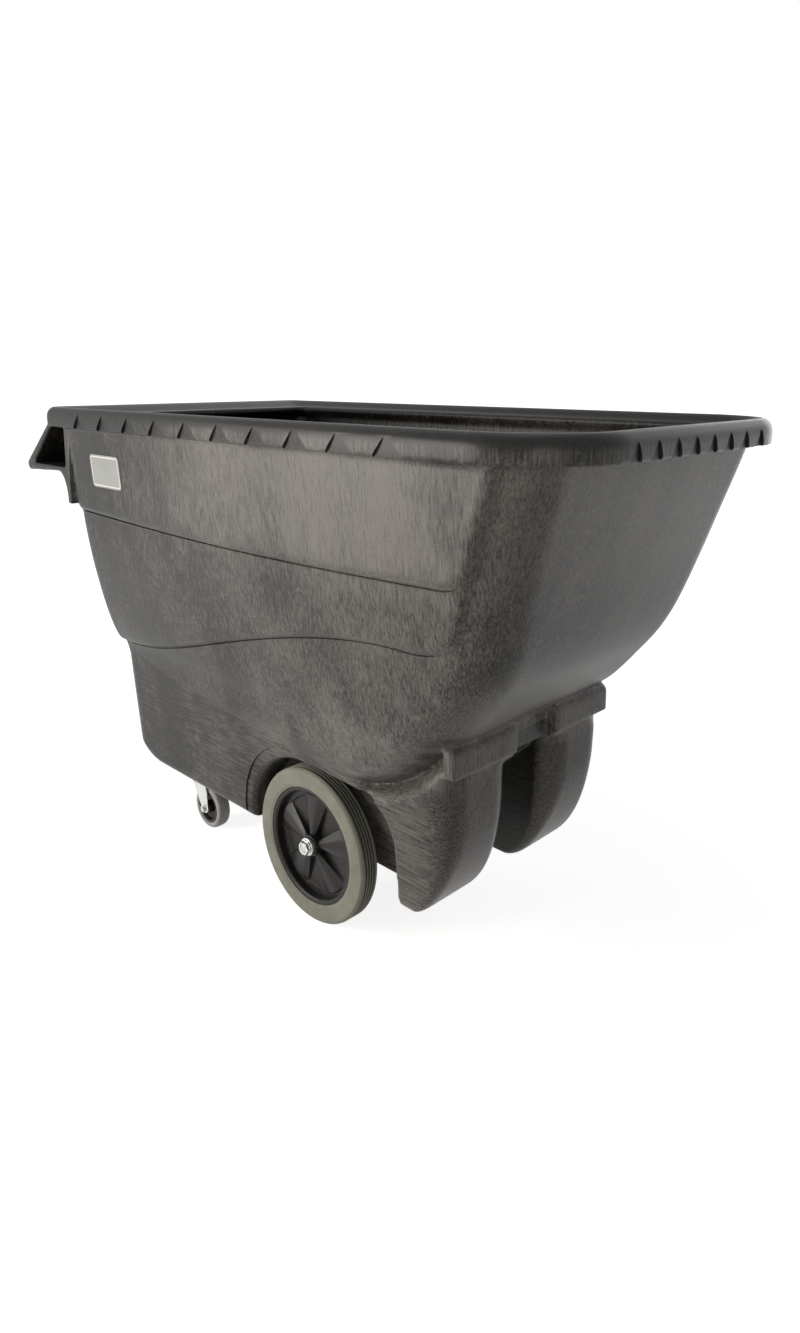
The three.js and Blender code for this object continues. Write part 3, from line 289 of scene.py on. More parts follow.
BASE_Z = 144.16
FOOT_Z = BASE_Z - 12.0
BASE_REAR_X, BASE_FRONT_X, BASE_HALF_LOW, BASE_HALF_HIGH, BASE_TOP_Z = -550.0, 479.0, 206.0, 233.0, 440.0
BASE_FILLET, BASE_CORNER_REAR, BASE_CORNER_FRONT, BASE_HEEL = 16.0, 50.0, 50.0, 110.0
FRONT_REACH, FRONT_RISE, FRONT_CURVE, FOOT_START_X = 105.0, 204.0, 1.6, 336.0
SHOULDER_START_X, SHOULDER_END_X, SHOULDER_INSET, SHOULDER_DROP = 150.0, 463.0, 46.0, 42.0
SHOULDER_ROWS = np.array([
    (0.43, 0), (0.59, 0.11), (0.7, 0.28), (0.8, 0.48), (0.88, 0.66), (0.95, 0.84), (1, 1),
])

WHEEL_X, WHEEL_RADIUS = 103.0, 152.4
WELL_Y, WELL_CLEAR, WELL_ANGLE, WELL_TOP_Z, WELL_FRONT_X, WELL_RADIUS = 150.0, 20.0, 188.0, 328.0, 345.0, 88.0
WELL_LIP, ARCH_BAND, ARCH_DEPTH = 18.0, 11.0, 3.0

TUNNEL_TOP, TUNNEL_BOTTOM = 55.0, 64.0
TUNNEL_FRONT_Z, TUNNEL_Z, TUNNEL_FRONT_X, TUNNEL_SLOPE_X = 404.0, 296.0, 452.0, 330.0
TUNNEL_REAR_X, TUNNEL_REAR_TOP_X, RECESS_X, RECESS_Z = 40.0, 80.0, 463.0, 432.0

PAD_FRONT_X, PAD_BACK_X, PAD_HALF, PAD_INNER = 488.0, 461.0, 223.0, 55.0
PAD_Z, PAD_TOP_Z, PAD_CORNER, PAD_ROUND = 416.0, 468.0, 6.0, 14.0

AXLE_CHANNEL = 8.24
VOXEL = 0.0035


def lerp(a, b, t):
    return a + (b - a) * t


def ease(t):
    t = np.clip(t, 0.0, 1.0)
    return t * t * (3 - 2 * t)


def through(rows, column, x):
    """A smooth curve through a table's points that never overshoots them."""
    xs, ys = rows[:, 0], rows[:, column]
    run = np.diff(xs)
    slope = np.diff(ys) / run
    turn = slope[:-1] * slope[1:]
    bend = np.where(turn > 0, 2 * turn / np.where(turn > 0, slope[:-1] + slope[1:], 1.0), 0.0)
    tangent = np.concatenate([slope[:1], bend, slope[-1:]])
    k = int(np.clip(np.searchsorted(xs, x) - 1, 0, len(run) - 1))
    t = (min(max(x, xs[0]), xs[-1]) - xs[k]) / run[k]
    return ((2 * t**3 - 3 * t**2 + 1) * ys[k] + (t**3 - 2 * t**2 + t) * run[k] * tangent[k]
            + (3 * t**2 - 2 * t**3) * ys[k + 1] + (t**3 - t**2) * run[k] * tangent[k + 1])


def object_of(name, mesh):
    one = bpy.data.objects.new(name, mesh)
    bpy.context.scene.collection.objects.link(one)
    return one


def loft(name, rings, closed=False):
    """A solid from rings of points in millimetres, with flat ends unless the rings close in a loop."""
    rings = np.asarray(rings, float) * MM
    rows, count = rings.shape[:2]
    here = np.arange(count)
    after = (here + 1) % count
    faces = []
    for row in range(rows if closed else rows - 1):
        low, high = row * count, ((row + 1) % rows) * count
        faces += np.stack([low + here, low + after, high + after, high + here], 1).tolist()
    if not closed:
        faces += [here[::-1].tolist(), ((rows - 1) * count + here).tolist()]
    mesh = bpy.data.meshes.new(name)
    mesh.from_pydata(rings.reshape(-1, 3).tolist(), [], faces)
    face_out(mesh)
    return object_of(name, mesh)


def face_out(mesh):
    work = bmesh.new()
    work.from_mesh(mesh)
    if work.calc_volume(signed=True) < 0:
        bmesh.ops.reverse_faces(work, faces=work.faces)
    work.to_mesh(mesh)
    work.free()


def modified(one, kind, **settings):
    """Applies one modifier to an object's mesh."""
    modifier = one.modifiers.new(kind, kind)
    for key, value in settings.items():
        setattr(modifier, key, value)
    graph = bpy.context.evaluated_depsgraph_get()
    mesh = bpy.data.meshes.new_from_object(one.evaluated_get(graph))
    one.modifiers.clear()
    one.data = mesh
    return one


def combine(one, operation, others):
    for other in others:
        modified(one, "BOOLEAN", operation=operation, object=other, solver="MANIFOLD")
        bpy.data.objects.remove(other)
    return one


def joined(solids):
    """One object that holds separate solids."""
    work = bmesh.new()
    for one in solids:
        work.from_mesh(one.data)
        bpy.data.objects.remove(one)
    mesh = bpy.data.meshes.new("joined")
    work.to_mesh(mesh)
    work.free()
    return object_of("joined", mesh)


def across(name, outline, low, high):
    """A solid with an outline in X and Z, drawn from one Y to another."""
    points = np.array(outline)
    ends = [np.stack([points[:, 0], np.full(len(points), y), points[:, 1]], 1) for y in (low, high)]
    return loft(name, ends)


def arc(x, z, radius, start, end, steps):
    turn = np.radians(np.linspace(start, end, steps + 1))
    return np.stack([x + radius * np.cos(turn), z + radius * np.sin(turn)], 1)


def plan(rear, front, half_rear, half_front, corner_rear, corner_front, places=SIDE_PLACES):
    """The outline seen from above: rows of x, y, outward x, outward y, share along the side, corner turn."""
    turns = np.arange(1, CORNER_STEPS) / CORNER_STEPS * math.pi / 2

    def side(sign, at):
        x = lerp(rear + corner_rear, front - corner_front, at)
        y = sign * lerp(half_rear, half_front, at)
        return np.stack([x, y, 0 * at, sign + 0 * at, at, 0 * at], 1)

    def corner(x, y, radius, start, share, turned):
        angle = start + turns
        c, s = np.cos(angle), np.sin(angle)
        return np.stack([x + radius * c, y + radius * s, c, s, share + 0 * c, turned], 1)

    def end(x, half, sign, share):
        y = sign * lerp(-half, half, ACROSS_PLACES)
        flat = math.pi / 2 * share
        return np.stack([x + 0 * y, y, sign + 0 * y, 0 * y, share + 0 * y, flat + 0 * y], 1)

    near, far, back = front - corner_front, half_front - corner_front, half_rear - corner_rear
    return np.concatenate([
        side(-1, places), corner(near, -far, corner_front, -math.pi / 2, 1, turns),
        end(front, far, 1, 1), corner(near, far, corner_front, 0, 1, turns[::-1]),
        side(1, places[::-1]), corner(rear + corner_rear, back, corner_rear, math.pi / 2, 0, 0 * turns),
        end(rear, back, -1, 0), corner(rear + corner_rear, -back, corner_rear, math.pi, 0, 0 * turns),
    ])


def tub_plan(z, inset=0.0):
    share = min(1.0, max(0.0, (z - TUB_FLOOR_Z) / (TUB_TOP_Z - TUB_FLOOR_Z)))
    front, half, rear = [through(TUB_ROWS, column, share) for column in (1, 2, 3)]
    return plan(
        TUB_REAR_X + inset, lerp(TUB_FLOOR_FRONT_X, TUB_TOP_FRONT_X, front) - inset,
        lerp(TUB_FLOOR_HALF_REAR, TUB_TOP_HALF, rear) - inset, lerp(TUB_FLOOR_HALF, TUB_TOP_HALF, half) - inset,
        TUB_CORNER_REAR - min(inset, TUB_CORNER_REAR / 2),
        lerp(TUB_CORNER_FLOOR, TUB_CORNER_TOP, share) - min(inset, TUB_CORNER_TOP / 2),
    )


def at_height(points, z):
    return np.stack([points[:, 0], points[:, 1], np.full(len(points), z)], 1)


def wave_z(share):
    return lerp(WAVE_REAR_Z, WAVE_FRONT_Z, ease(share / WAVE_END))


def step_z(share):
    return STEP_Z - STEP_SAG * np.sin(math.pi * share)


def within(a, b, radius):
    """How far inside two edges a place is, with the corner between them rounded."""
    return np.where((a < radius) & (b < radius), radius - np.hypot(radius - a, radius - b), np.minimum(a, b))


def tub_outside():
    rings = []
    foot = np.linspace(TUB_FLOOR_Z, TUB_FLOOR_Z + 24, 9)
    for z in [*foot, *np.arange(TUB_FLOOR_Z + 28, TUB_TOP_Z, ROW_STEP), TUB_TOP_Z]:
        points = tub_plan(z)
        share, turn = points[:, 4], points[:, 5]
        corner = lerp(TUB_CORNER_FLOOR, TUB_CORNER_TOP, (z - TUB_FLOOR_Z) / (TUB_TOP_Z - TUB_FLOOR_Z))
        side_end = points[:len(SIDE_PLACES), 0].max()
        behind = np.maximum(side_end - points[:, 0], 0.0) * (turn == 0)
        reach = PANEL_END_SOFT * ((PANEL_END_TURN - turn) * corner + behind)
        rise = PANEL_RISE * ease((within(z - wave_z(share), reach, WAVE_CORNER) / PANEL_EDGE + 1) / 2)
        rise += PANEL_UPPER * ease((within(z - step_z(share), reach, STEP_CORNER) / PANEL_EDGE + 1) / 2)
        points[:, :2] += rise[:, None] * points[:, 2:4]
        rings.append(at_height(points, z))
    return loft("tub_outside", rings)


def crease_point(edge, rise, inside, above):
    """A place so far inside a panel's front end and above its lower edge, the tub's normal there, and Z."""
    z, share = WAVE_FRONT_Z, 1.0
    for _ in range(3):
        corner = lerp(TUB_CORNER_FLOOR, TUB_CORNER_TOP, (z - TUB_FLOOR_Z) / (TUB_TOP_Z - TUB_FLOOR_Z))
        side = tub_plan(z)[:len(SIDE_PLACES)]
        ahead = inside / PANEL_END_SOFT - PANEL_END_TURN * corner
        share = min(1.0, np.interp(side[-1, 0] - max(ahead, 0.0), side[:, 0], side[:, 4]))
        z = edge(share) + above
    turn = max(-ahead, 0.0) / corner
    x = np.interp(share, side[:, 4], side[:, 0]) + corner * math.sin(turn)
    y = np.interp(share, side[:, 4], -side[:, 1]) - corner * (1 - math.cos(turn))
    normal = np.array([math.sin(turn), math.cos(turn)])
    return np.array([x, y]) + rise * normal, normal, z


def creases():
    """Wedges that cut the fine line at the foot of each raised panel's lower edge, up round its front end."""
    out = []
    for edge, rise, radius in ((wave_z, 0.0, WAVE_CORNER), (step_z, PANEL_RISE, STEP_CORNER)):
        length = PANEL_END_SOFT * (TUB_TOP_FRONT_X - TUB_REAR_X) * 0.9
        bend = np.radians(np.linspace(0, CREASE_TURN, 24))
        level = np.linspace(length, radius, CREASE_STEPS)[:-1]
        arm = radius + PANEL_EDGE
        run = [(inside, -PANEL_EDGE) for inside in level]
        run += [(radius - arm * math.sin(t), radius - arm * math.cos(t)) for t in bend]
        rings = []
        for k, (inside, above) in enumerate(run):
            place, normal, z = crease_point(edge, rise, inside, above)
            tilt = bend[k - len(level)] / PANEL_END_SOFT if k > len(level) else 0.0
            deep = 2 * CREASE * min(1.0, (len(run) - 1 - k) / 12 + 0.1)
            along = np.array([normal[1], -normal[0]]) * math.sin(min(tilt, CREASE_TILT))
            up = math.cos(min(tilt, CREASE_TILT))
            points = [(*(place - deep * normal), z)]
            for i in (-1, 1):
                outside = place + 2 * CREASE * normal + i * 2 * CREASE * along
                points.append((*outside, z + i * 2 * CREASE * up))
            rings.append(points)
        for sign in (-1, 1):
            out.append(loft("crease", [[(x, sign * y, z) for x, y, z in points] for points in rings]))
    return out


def tub_inside():
    lip = HEIGHT - RIM_DROP - RIM_EDGE - RIM_UNDER
    levels = np.linspace(TUB_FLOOR_Z, lip - OVERRUN, 90)
    rings = [at_height(tub_plan(z, TUB_WALL), z + TUB_FLOOR) for z in levels]
    rings.append(at_height(tub_plan(lip, TUB_WALL), lip))
    rings += [at_height(tub_plan(TUB_TOP_Z, RIM_LIP), z) for z in (lip + RIM_UNDER, HEIGHT + OVERRUN)]
    return loft("tub_inside", rings)


def rim_section(reach):
    """The rim's section at one place: distance in from its outer face, and height."""
    edge = HEIGHT - RIM_DROP
    top = np.linspace(0.0, 1.0, 9)[1:]
    fall = top ** 1.5 * (1 - top) * 0.2 + ease(top)
    return np.array([
        (SKIRT_DRAFT, SKIRT_Z), *arc(RIM_BEAD, HEIGHT - RIM_BEAD, RIM_BEAD, 180, 90, 12),
        *np.stack([lerp(RIM_BEAD, reach, top), HEIGHT - RIM_DROP * 0.92 * fall], 1),
        (reach, edge - RIM_EDGE / 2), (reach, edge - RIM_EDGE),
        (max(reach - RIM_LIP, SKIRT_WALL + RIM_UNDER), edge - RIM_UNDER / 2),
        (SKIRT_WALL + RIM_UNDER / 2, edge - RIM_UNDER / 2), (SKIRT_WALL, SKIRT_Z),
    ])


def rim():
    outer = plan(RIM_REAR_X, END_X, OUTER_HALF, OUTER_HALF, RIM_CORNER_REAR, RIM_CORNER_FRONT)[:, :2]
    inner = tub_plan(TUB_TOP_Z, RIM_LIP + 0.3)[:, :2]
    rings = []
    for a, b in zip(outer, inner):
        reach = math.dist(a, b)
        section = rim_section(reach)
        share = section[:, :1] / reach
        rings.append(np.concatenate([lerp(a, b, share), section[:, 1:]], 1))
    return loft("rim", rings, True)


def flute(place, turn, narrow=1.0):
    """One wedge pressed into the skirt, deepest at the skirt's lower edge."""
    base, tip, out = FLUTE_BASE / 2 * narrow, FLUTE_TIP / 2 * narrow, FLUTE_DEPTH
    low, high = -FLUTE_PROUD, FLUTE_HIGH
    one = loft("flute", [
        [(-base, -out, low), (base, -out, low), (base, out, low), (-base, out, low)],
        [(-tip, -out, high), (tip, -out, high), (tip, 0, high), (-tip, 0, high)],
    ])
    one.data.transform(Matrix.Translation(Vector(place) * MM) @ Matrix.Rotation(turn, 4, "Z"))
    return one


def flutes():
    face = OUTER_HALF - SKIRT_DRAFT
    out = []
    for i in range(FLUTES_SIDE):
        x = FLUTE_FIRST_X + (i + 0.5) * FLUTE_SIDE_PITCH
        out += [flute((x, -face, SKIRT_Z), 0.0), flute((x, face, SKIRT_Z), math.pi)]
    for i in range(FLUTES_FRONT):
        y = (i - (FLUTES_FRONT - 1) / 2) * FLUTE_FRONT_PITCH
        out.append(flute((END_X - SKIRT_DRAFT, y, SKIRT_Z), math.pi / 2, FLUTE_FRONT_PITCH / FLUTE_SIDE_PITCH))
    return out


def mark_painted_shade(mesh):
    """Gives the flutes, the tunnel and the gap between the pads the second material, the moulding darkened as
    painted shade.
    """
    middle = np.empty(len(mesh.polygons) * 3)
    mesh.polygons.foreach_get("center", middle)
    facing = np.empty(len(mesh.polygons) * 3)
    mesh.polygons.foreach_get("normal", facing)
    x, y, z = middle.reshape(-1, 3).T / MM
    wide = lerp(FLUTE_BASE, FLUTE_TIP, (z - SKIRT_Z + FLUTE_PROUD) / (FLUTE_HIGH + FLUTE_PROUD)) / 2
    first = FLUTE_FIRST_X + FLUTE_SIDE_PITCH / 2
    along = np.abs((x - first + FLUTE_SIDE_PITCH / 2) % FLUTE_SIDE_PITCH - FLUTE_SIDE_PITCH / 2)
    last = first + (FLUTES_SIDE - 1) * FLUTE_SIDE_PITCH
    side = (along < wide + FLUTE_SLACK) & (x > first - wide) & (x < last + wide)
    side &= np.abs(y) < OUTER_HALF - FLUTE_SKIN
    side &= np.abs(y) > OUTER_HALF - SKIRT_DRAFT - FLUTE_DEPTH - FLUTE_MARGIN
    beside = np.abs(y % FLUTE_FRONT_PITCH - FLUTE_FRONT_PITCH / 2)
    end = beside < wide * FLUTE_FRONT_PITCH / FLUTE_SIDE_PITCH + FLUTE_SLACK
    end &= np.abs(y) < FLUTES_FRONT / 2 * FLUTE_FRONT_PITCH
    end &= (x < END_X - FLUTE_SKIN) & (x > END_X - SKIRT_DRAFT - FLUTE_DEPTH - FLUTE_MARGIN)
    found = (side | end) & (z > SKIRT_Z - FLUTE_MARGIN) & (z < SKIRT_Z + FLUTE_HIGH)
    under = facing[2::3] < 0.1
    found |= (np.abs(y) < tunnel_half(z) + 1.0) & (z < TUNNEL_FRONT_Z + SINK) & (x > TUNNEL_REAR_X) & under
    found |= (np.abs(y) < PAD_INNER) & (z < RECESS_Z + SINK) & (x > RECESS_X - SINK)
    mesh.polygons.foreach_set("material_index", found.astype(np.int32))


def handle():
    crest = HEIGHT - RIM_BEAD / 2
    nose = -END_X + NOSE_RADIUS
    slope = math.degrees(math.atan2(crest - NOSE_Z, CREST_X - nose)) + 90
    wall = TUB_REAR_X - PANEL_RISE - PANEL_UPPER
    inside = wall + TUB_WALL + PANEL_UPPER
    unit = arc(0, 0, 1, 90, 0, 10)
    fillet = unit * (FILLET_OUT, FILLET_DOWN) + (wall - FILLET_OUT, ROOT_Z - FILLET_DOWN)
    outer = [
        (inside, ROOT_Z - FILLET_DOWN), (inside, SKIRT_Z + RIM_UNDER), (CREST_X, crest),
        *arc(nose, NOSE_Z, NOSE_RADIUS, slope, 270, 10), *fillet,
    ]
    lean = (CREST_X - nose) / (crest - NOSE_Z)

    def plate_back(z):
        return CREST_X - (crest - z) * lean + PLATE * math.hypot(1, lean)

    low = ROOT_Z + PLATE
    hollow = [
        (HOLLOW_FRONT_X, low), (plate_back(low) + NOSE_BACK, low),
        (plate_back(low + NOSE_BACK), low + NOSE_BACK),
        (plate_back(HOLLOW_TOP_Z), HOLLOW_TOP_Z), (HOLLOW_FRONT_X, HOLLOW_TOP_Z),
    ]
    body = across("handle", outer, -HANDLE_HALF, HANDLE_HALF)
    return body, across("handle_hollow", hollow, -HANDLE_HALF - OVERRUN, HANDLE_HALF + OVERRUN)


def front_curve(t):
    return (1 - np.clip(t, 0, 1) ** FRONT_CURVE) ** (1 / FRONT_CURVE)


def front_x(z):
    return BASE_FRONT_X - FRONT_REACH * (1 - front_curve(1 - (z - FOOT_Z) / FRONT_RISE))


def underside_z(x):
    if x < FOOT_START_X:
        return BASE_Z + float(round_off(BASE_HEEL, BASE_REAR_X + BASE_HEEL - x))
    return FOOT_Z + FRONT_RISE * (1 - float(front_curve(1 - (BASE_FRONT_X - x) / FRONT_REACH)))


def corner_at(z):
    return lerp(BASE_FILLET, BASE_CORNER_FRONT, ease((z - FOOT_Z) / FRONT_RISE))


def round_off(radius, past):
    past = np.clip(past, 0, radius)
    return radius - np.sqrt(np.maximum(radius**2 - past**2, 0))


def shoulder_z(x):
    low = TUB_FLOOR_Z + TUB_FLOOR
    if x <= SHOULDER_START_X:
        return BASE_TOP_Z
    if x > SHOULDER_END_X:
        return PAD_Z + SINK
    share = (x - SHOULDER_START_X) / (SHOULDER_END_X - SHOULDER_START_X)
    first = SHOULDER_ROWS[0, 0]
    if share <= first:
        return lerp(BASE_TOP_Z, low, share / first)
    return lerp(low, PAD_TOP_Z - PAD_ROUND, through(SHOULDER_ROWS, 1, share))


def base_side(z):
    return lerp(BASE_HALF_LOW, BASE_HALF_HIGH, (z - BASE_Z) / (BASE_TOP_Z - BASE_Z))


def base_ring(x):
    low, top = underside_z(x), shoulder_z(x)
    shoulder = float(ease((x - SHOULDER_START_X) / (TUB_FLOOR_FRONT_X - SHOULDER_START_X)))
    share = np.concatenate([np.linspace(0, 1, 9)[:-1] ** 2 * 0.06, np.linspace(0.06, 1, 40)])
    z = lerp(low, top - SHOULDER_DROP * shoulder, share)
    rear = round_off(BASE_CORNER_REAR, BASE_REAR_X + BASE_CORNER_REAR - x)
    front = round_off(corner_at(z), x - front_x(z) + corner_at(z))
    foot = round_off(BASE_FILLET, (low if x < FOOT_START_X else FOOT_Z) + BASE_FILLET - z)
    half = base_side(z) - np.maximum(np.maximum(front, foot), rear)
    last = half[-1] - SHOULDER_INSET * shoulder
    turn = np.linspace(0, math.pi / 2, 9)[1:]
    y = np.concatenate([[0], half, lerp(last, half[-1], np.cos(turn)), [0]])
    z = np.concatenate([[low], z, lerp(z[-1], top, np.sin(turn)), [top]])
    y, z = np.concatenate([y, -y[-2:0:-1]]), np.concatenate([z, z[-2:0:-1]])
    return np.stack([np.full(len(y), x), y, z], 1)


def base():
    rear = BASE_REAR_X + BASE_HEEL * np.linspace(0, 1, 22) ** 1.6
    middle = [*np.linspace(SHOULDER_START_X, FOOT_START_X - 0.3, 24), FOOT_START_X]
    front = BASE_FRONT_X - FRONT_REACH * np.linspace(1, 0, 36) ** 1.6
    stations = sorted([*rear, *middle, *front, SHOULDER_END_X, SHOULDER_END_X + SINK])
    return loft("base", [base_ring(x) for x in stations])


def tunnel_half(z):
    return lerp(TUNNEL_BOTTOM, TUNNEL_TOP, (z - BASE_Z) / (TUNNEL_FRONT_Z - BASE_Z))


def tunnel():
    outline = [
        (TUNNEL_REAR_X, BASE_Z - OVERRUN), (TUNNEL_REAR_TOP_X, TUNNEL_Z), (TUNNEL_SLOPE_X, TUNNEL_Z),
        (TUNNEL_FRONT_X, TUNNEL_FRONT_Z), (PAD_FRONT_X + OVERRUN, TUNNEL_FRONT_Z),
        (PAD_FRONT_X + OVERRUN, BASE_Z - OVERRUN),
    ]
    return loft("tunnel", [[(x, sign * tunnel_half(z), z) for x, z in outline] for sign in (-1, 1)])


def tunnel_mouth():
    rings = []
    for z in [FOOT_Z - OVERRUN, *lerp(FOOT_Z, TUNNEL_FRONT_Z, np.linspace(0, 1, 40) ** 1.5)]:
        half, radius = tunnel_half(max(z, BASE_Z)), float(corner_at(z))
        turn = arc(float(front_x(z)) - radius, half + radius, radius, -90, 0, 14)
        wide = [*turn, (PAD_FRONT_X + OVERRUN, half + radius)]
        rings.append([*[(x, y, z) for x, y in wide], *[(x, -y, z) for x, y in reversed(wide)]])
    return loft("tunnel_mouth", rings)


def well(sign):
    """A wheel well, whose outline flares in a rolled lip towards the base's side."""
    low = BASE_Z - OVERRUN
    rings = []
    for depth in [-OVERRUN, *np.linspace(0, WELL_LIP, 8), None]:
        flare = 0.0 if depth is None else WELL_LIP - math.sqrt(WELL_LIP**2 - (WELL_LIP - max(depth, 0.0)) ** 2)
        front = arc(WELL_FRONT_X - WELL_RADIUS, WELL_TOP_Z - WELL_RADIUS, WELL_RADIUS, 0, 90, 10)
        rear = arc(WHEEL_X, WHEEL_RADIUS, WHEEL_RADIUS + WELL_CLEAR + flare, WELL_ANGLE, 90, 24)[::-1]
        outline = [(WELL_FRONT_X + 2.0, low), *front, *rear, (rear[-1][0], low)]
        rings.append([
            (x, sign * (WELL_Y if depth is None else float(base_side(z)) - depth), z) for x, z in outline])
    return loft("well", rings)


def arch_band(sign):
    """A shallow band round the back of a wheel's arch, a step into the base's side."""
    edge = WHEEL_RADIUS + WELL_CLEAR + WELL_LIP + ARCH_BAND
    outer = arc(WHEEL_X, WHEEL_RADIUS, edge, 200, 70, 48)
    outline = [*outer, *arc(WHEEL_X, WHEEL_RADIUS, WHEEL_RADIUS, 70, 200, 24)]
    return loft("arch_band", [
        [(x, sign * (float(base_side(z)) - depth), z) for x, z in outline] for depth in (-ARCH_BAND, ARCH_DEPTH)
    ])


def pad(sign):
    rings = []
    for z in [PAD_Z, *np.linspace(PAD_TOP_Z - PAD_ROUND, PAD_TOP_Z, 9)]:
        back = float(round_off(PAD_ROUND, z - PAD_TOP_Z + PAD_ROUND))
        front = PAD_FRONT_X - min(back, PAD_ROUND - 0.5)
        box = [
            (front, PAD_HALF, 0, -1, -1), (PAD_BACK_X, PAD_HALF, 90, 1, -1),
            (PAD_BACK_X, PAD_INNER, 180, 1, 1), (front, PAD_INNER, 270, -1, 1),
        ]
        points = np.concatenate([
            arc(x + i * PAD_CORNER, y + j * PAD_CORNER, PAD_CORNER, a, a + 90, 4) for x, y, a, i, j in box])
        rings.append([(x, sign * y, z) for x, y in points])
    return loft("pad", rings)


def recess():
    low, front = TUNNEL_FRONT_Z - SINK, PAD_FRONT_X + OVERRUN
    outline = [(RECESS_X, low), (front, low), (front, RECESS_Z), (RECESS_X, RECESS_Z)]
    return across("recess", outline, -PAD_INNER, PAD_INNER)


def axle_channel():
    top = arc(WHEEL_X, WHEEL_RADIUS, AXLE_CHANNEL, 0, 180, 10)
    outline = [(WHEEL_X + AXLE_CHANNEL, BASE_Z - OVERRUN), *top, (WHEEL_X - AXLE_CHANNEL, BASE_Z - OVERRUN)]
    return across("axle_channel", outline, -OUTER_HALF, OUTER_HALF)


def hopper():
    feet = combine(base(), "DIFFERENCE", [tunnel_mouth(), recess()])
    grip, hollow = handle()
    whole = combine(tub_outside(), "UNION", [rim(), grip, feet, pad(-1), pad(1)])
    combine(whole, "DIFFERENCE", [tub_inside(), hollow, well(-1), well(1), tunnel()])
    modified(whole, "REMESH", mode="VOXEL", voxel_size=VOXEL)
    modified(whole, "SMOOTH", factor=0.5, iterations=9)
    combine(whole, "DIFFERENCE", [arch_band(-1), arch_band(1)])
    combine(whole, "DIFFERENCE", [joined([axle_channel(), *flutes(), *creases()])])
    modified(whole, "DECIMATE", ratio=0.22)
    whole.name = "hopper_skin"
    return whole


# Wheels, turned about Z with +Z outwards, and their fittings

TYRE_WIDTH, TYRE_SEAT, TYRE_SHOULDER, TYRE_GROOVES, GROOVE_WIDTH, GROOVE_DEPTH = 42.0, 115.3, 5.0, 4, 3.8, 4.5
WHEEL_Y = 185.0
HUB_BORE, HUB_SEAT, HUB_RIM, HUB_RIM_WALL, HUB_BEVEL = 11.6, 115.0, 18.0, 9.0, 3.0
WEB_LOW, WEB_TOP, LEDGE_RADIUS, LEDGE_RISE = -6.0, -1.0, 92.0, 3.5
BOSS_RADIUS, BOSS_OUT, BOSS_IN = 21.0, 19.0, -20.0
SPOKES, SPOKE_ROOT, SPOKE_TIP, SPOKE_WALL = 5, 17.0, 99.0, 2.0
CROWN_HALF, SPOKE_HALF, SPOKE_HIGH, SPOKE_FALL = (2.5, 10.0), (5.0, 34.0), (14.0, 7.0), (3.0, 6.0)
AXLE_RADIUS, AXLE_END, NUT_FLATS, NUT_LOW, NUT_HIGH = 7.94, 221.0, 24.0, 210.9, 220.9
WASHER_RADIUS, WASHER_LOW, WASHER_HIGH, NUT_PLAY = 17.0, 207.6, 210.6, 0.2
CASTER_X, CASTER_Y, CASTER_TRAIL, CASTER_RADIUS = -376.0, 129.0, 32.0, 50.8
FORK_VOXEL = 0.0009


def placed(x, y, z, turn=0.0):
    """A place in millimetres, turned about X."""
    return Matrix.Translation(Vector((x, y, z)) * MM) @ Matrix.Rotation(turn, 4, "X")


def softened(points, radius, steps=4):
    """A closed outline with its corners rounded."""
    points = np.asarray(points, float)
    t = np.linspace(0, 1, steps + 1)[:, None]
    out = []
    for here, before, after in zip(points, np.roll(points, 1, 0), np.roll(points, -1, 0)):
        ends = []
        for other in (before, after):
            run = np.linalg.norm(other - here)
            ends.append(here + (other - here) / run * min(radius, run * 0.45))
        out.append((1 - t) ** 2 * ends[0] + 2 * t * (1 - t) * here + t**2 * ends[1])
    return np.concatenate(out)


def turned(name, section, steps=96):
    """A round solid from its section, a closed outline of radius and height."""
    turns = np.arange(steps) / steps * 2 * math.pi
    points = np.asarray(section)
    reach, z = points[:, 0], points[:, 1]
    rings = [np.stack([reach * math.cos(turn), reach * math.sin(turn), z], 1) for turn in turns]
    return loft(name, rings, True)


def tyre():
    half = TYRE_WIDTH / 2
    crown = half - TYRE_SHOULDER
    pitch = 2 * crown / (TYRE_GROOVES + 1)
    tread = []
    for i in range(TYRE_GROOVES):
        z = -crown + (i + 1) * pitch
        wide, narrow = GROOVE_WIDTH / 2, GROOVE_WIDTH / 5
        tread += [(WHEEL_RADIUS, z - wide), (WHEEL_RADIUS - GROOVE_DEPTH, z - narrow)]
        tread += [(WHEEL_RADIUS - GROOVE_DEPTH, z + narrow), (WHEEL_RADIUS, z + wide)]
    bead, shoulder = TYRE_SEAT + TYRE_SHOULDER, WHEEL_RADIUS - TYRE_SHOULDER
    side = [(shoulder, half), (bead, half), (bead - 1.5, half - 1.2), (TYRE_SEAT, half - 1.2)]
    return turned("tyre", softened([
        *[(r, -z) for r, z in reversed(side)], (WHEEL_RADIUS, -crown), *tread, (WHEEL_RADIUS, crown), *side,
    ], 2.2), 144)


def hub_columns():
    """The lines across one spoke: a side, the form they lie on, and a share of the way over that form."""
    steps = [("crown", 2), ("side", 4), ("wall", 4), ("gap", 5)]
    half = [("crown", 0.0)] + [(kind, (k + 1) / count) for kind, count in steps for k in range(count)]
    return [(-1, *one) for one in reversed(half[1:-1])] + [(1, *one) for one in half]


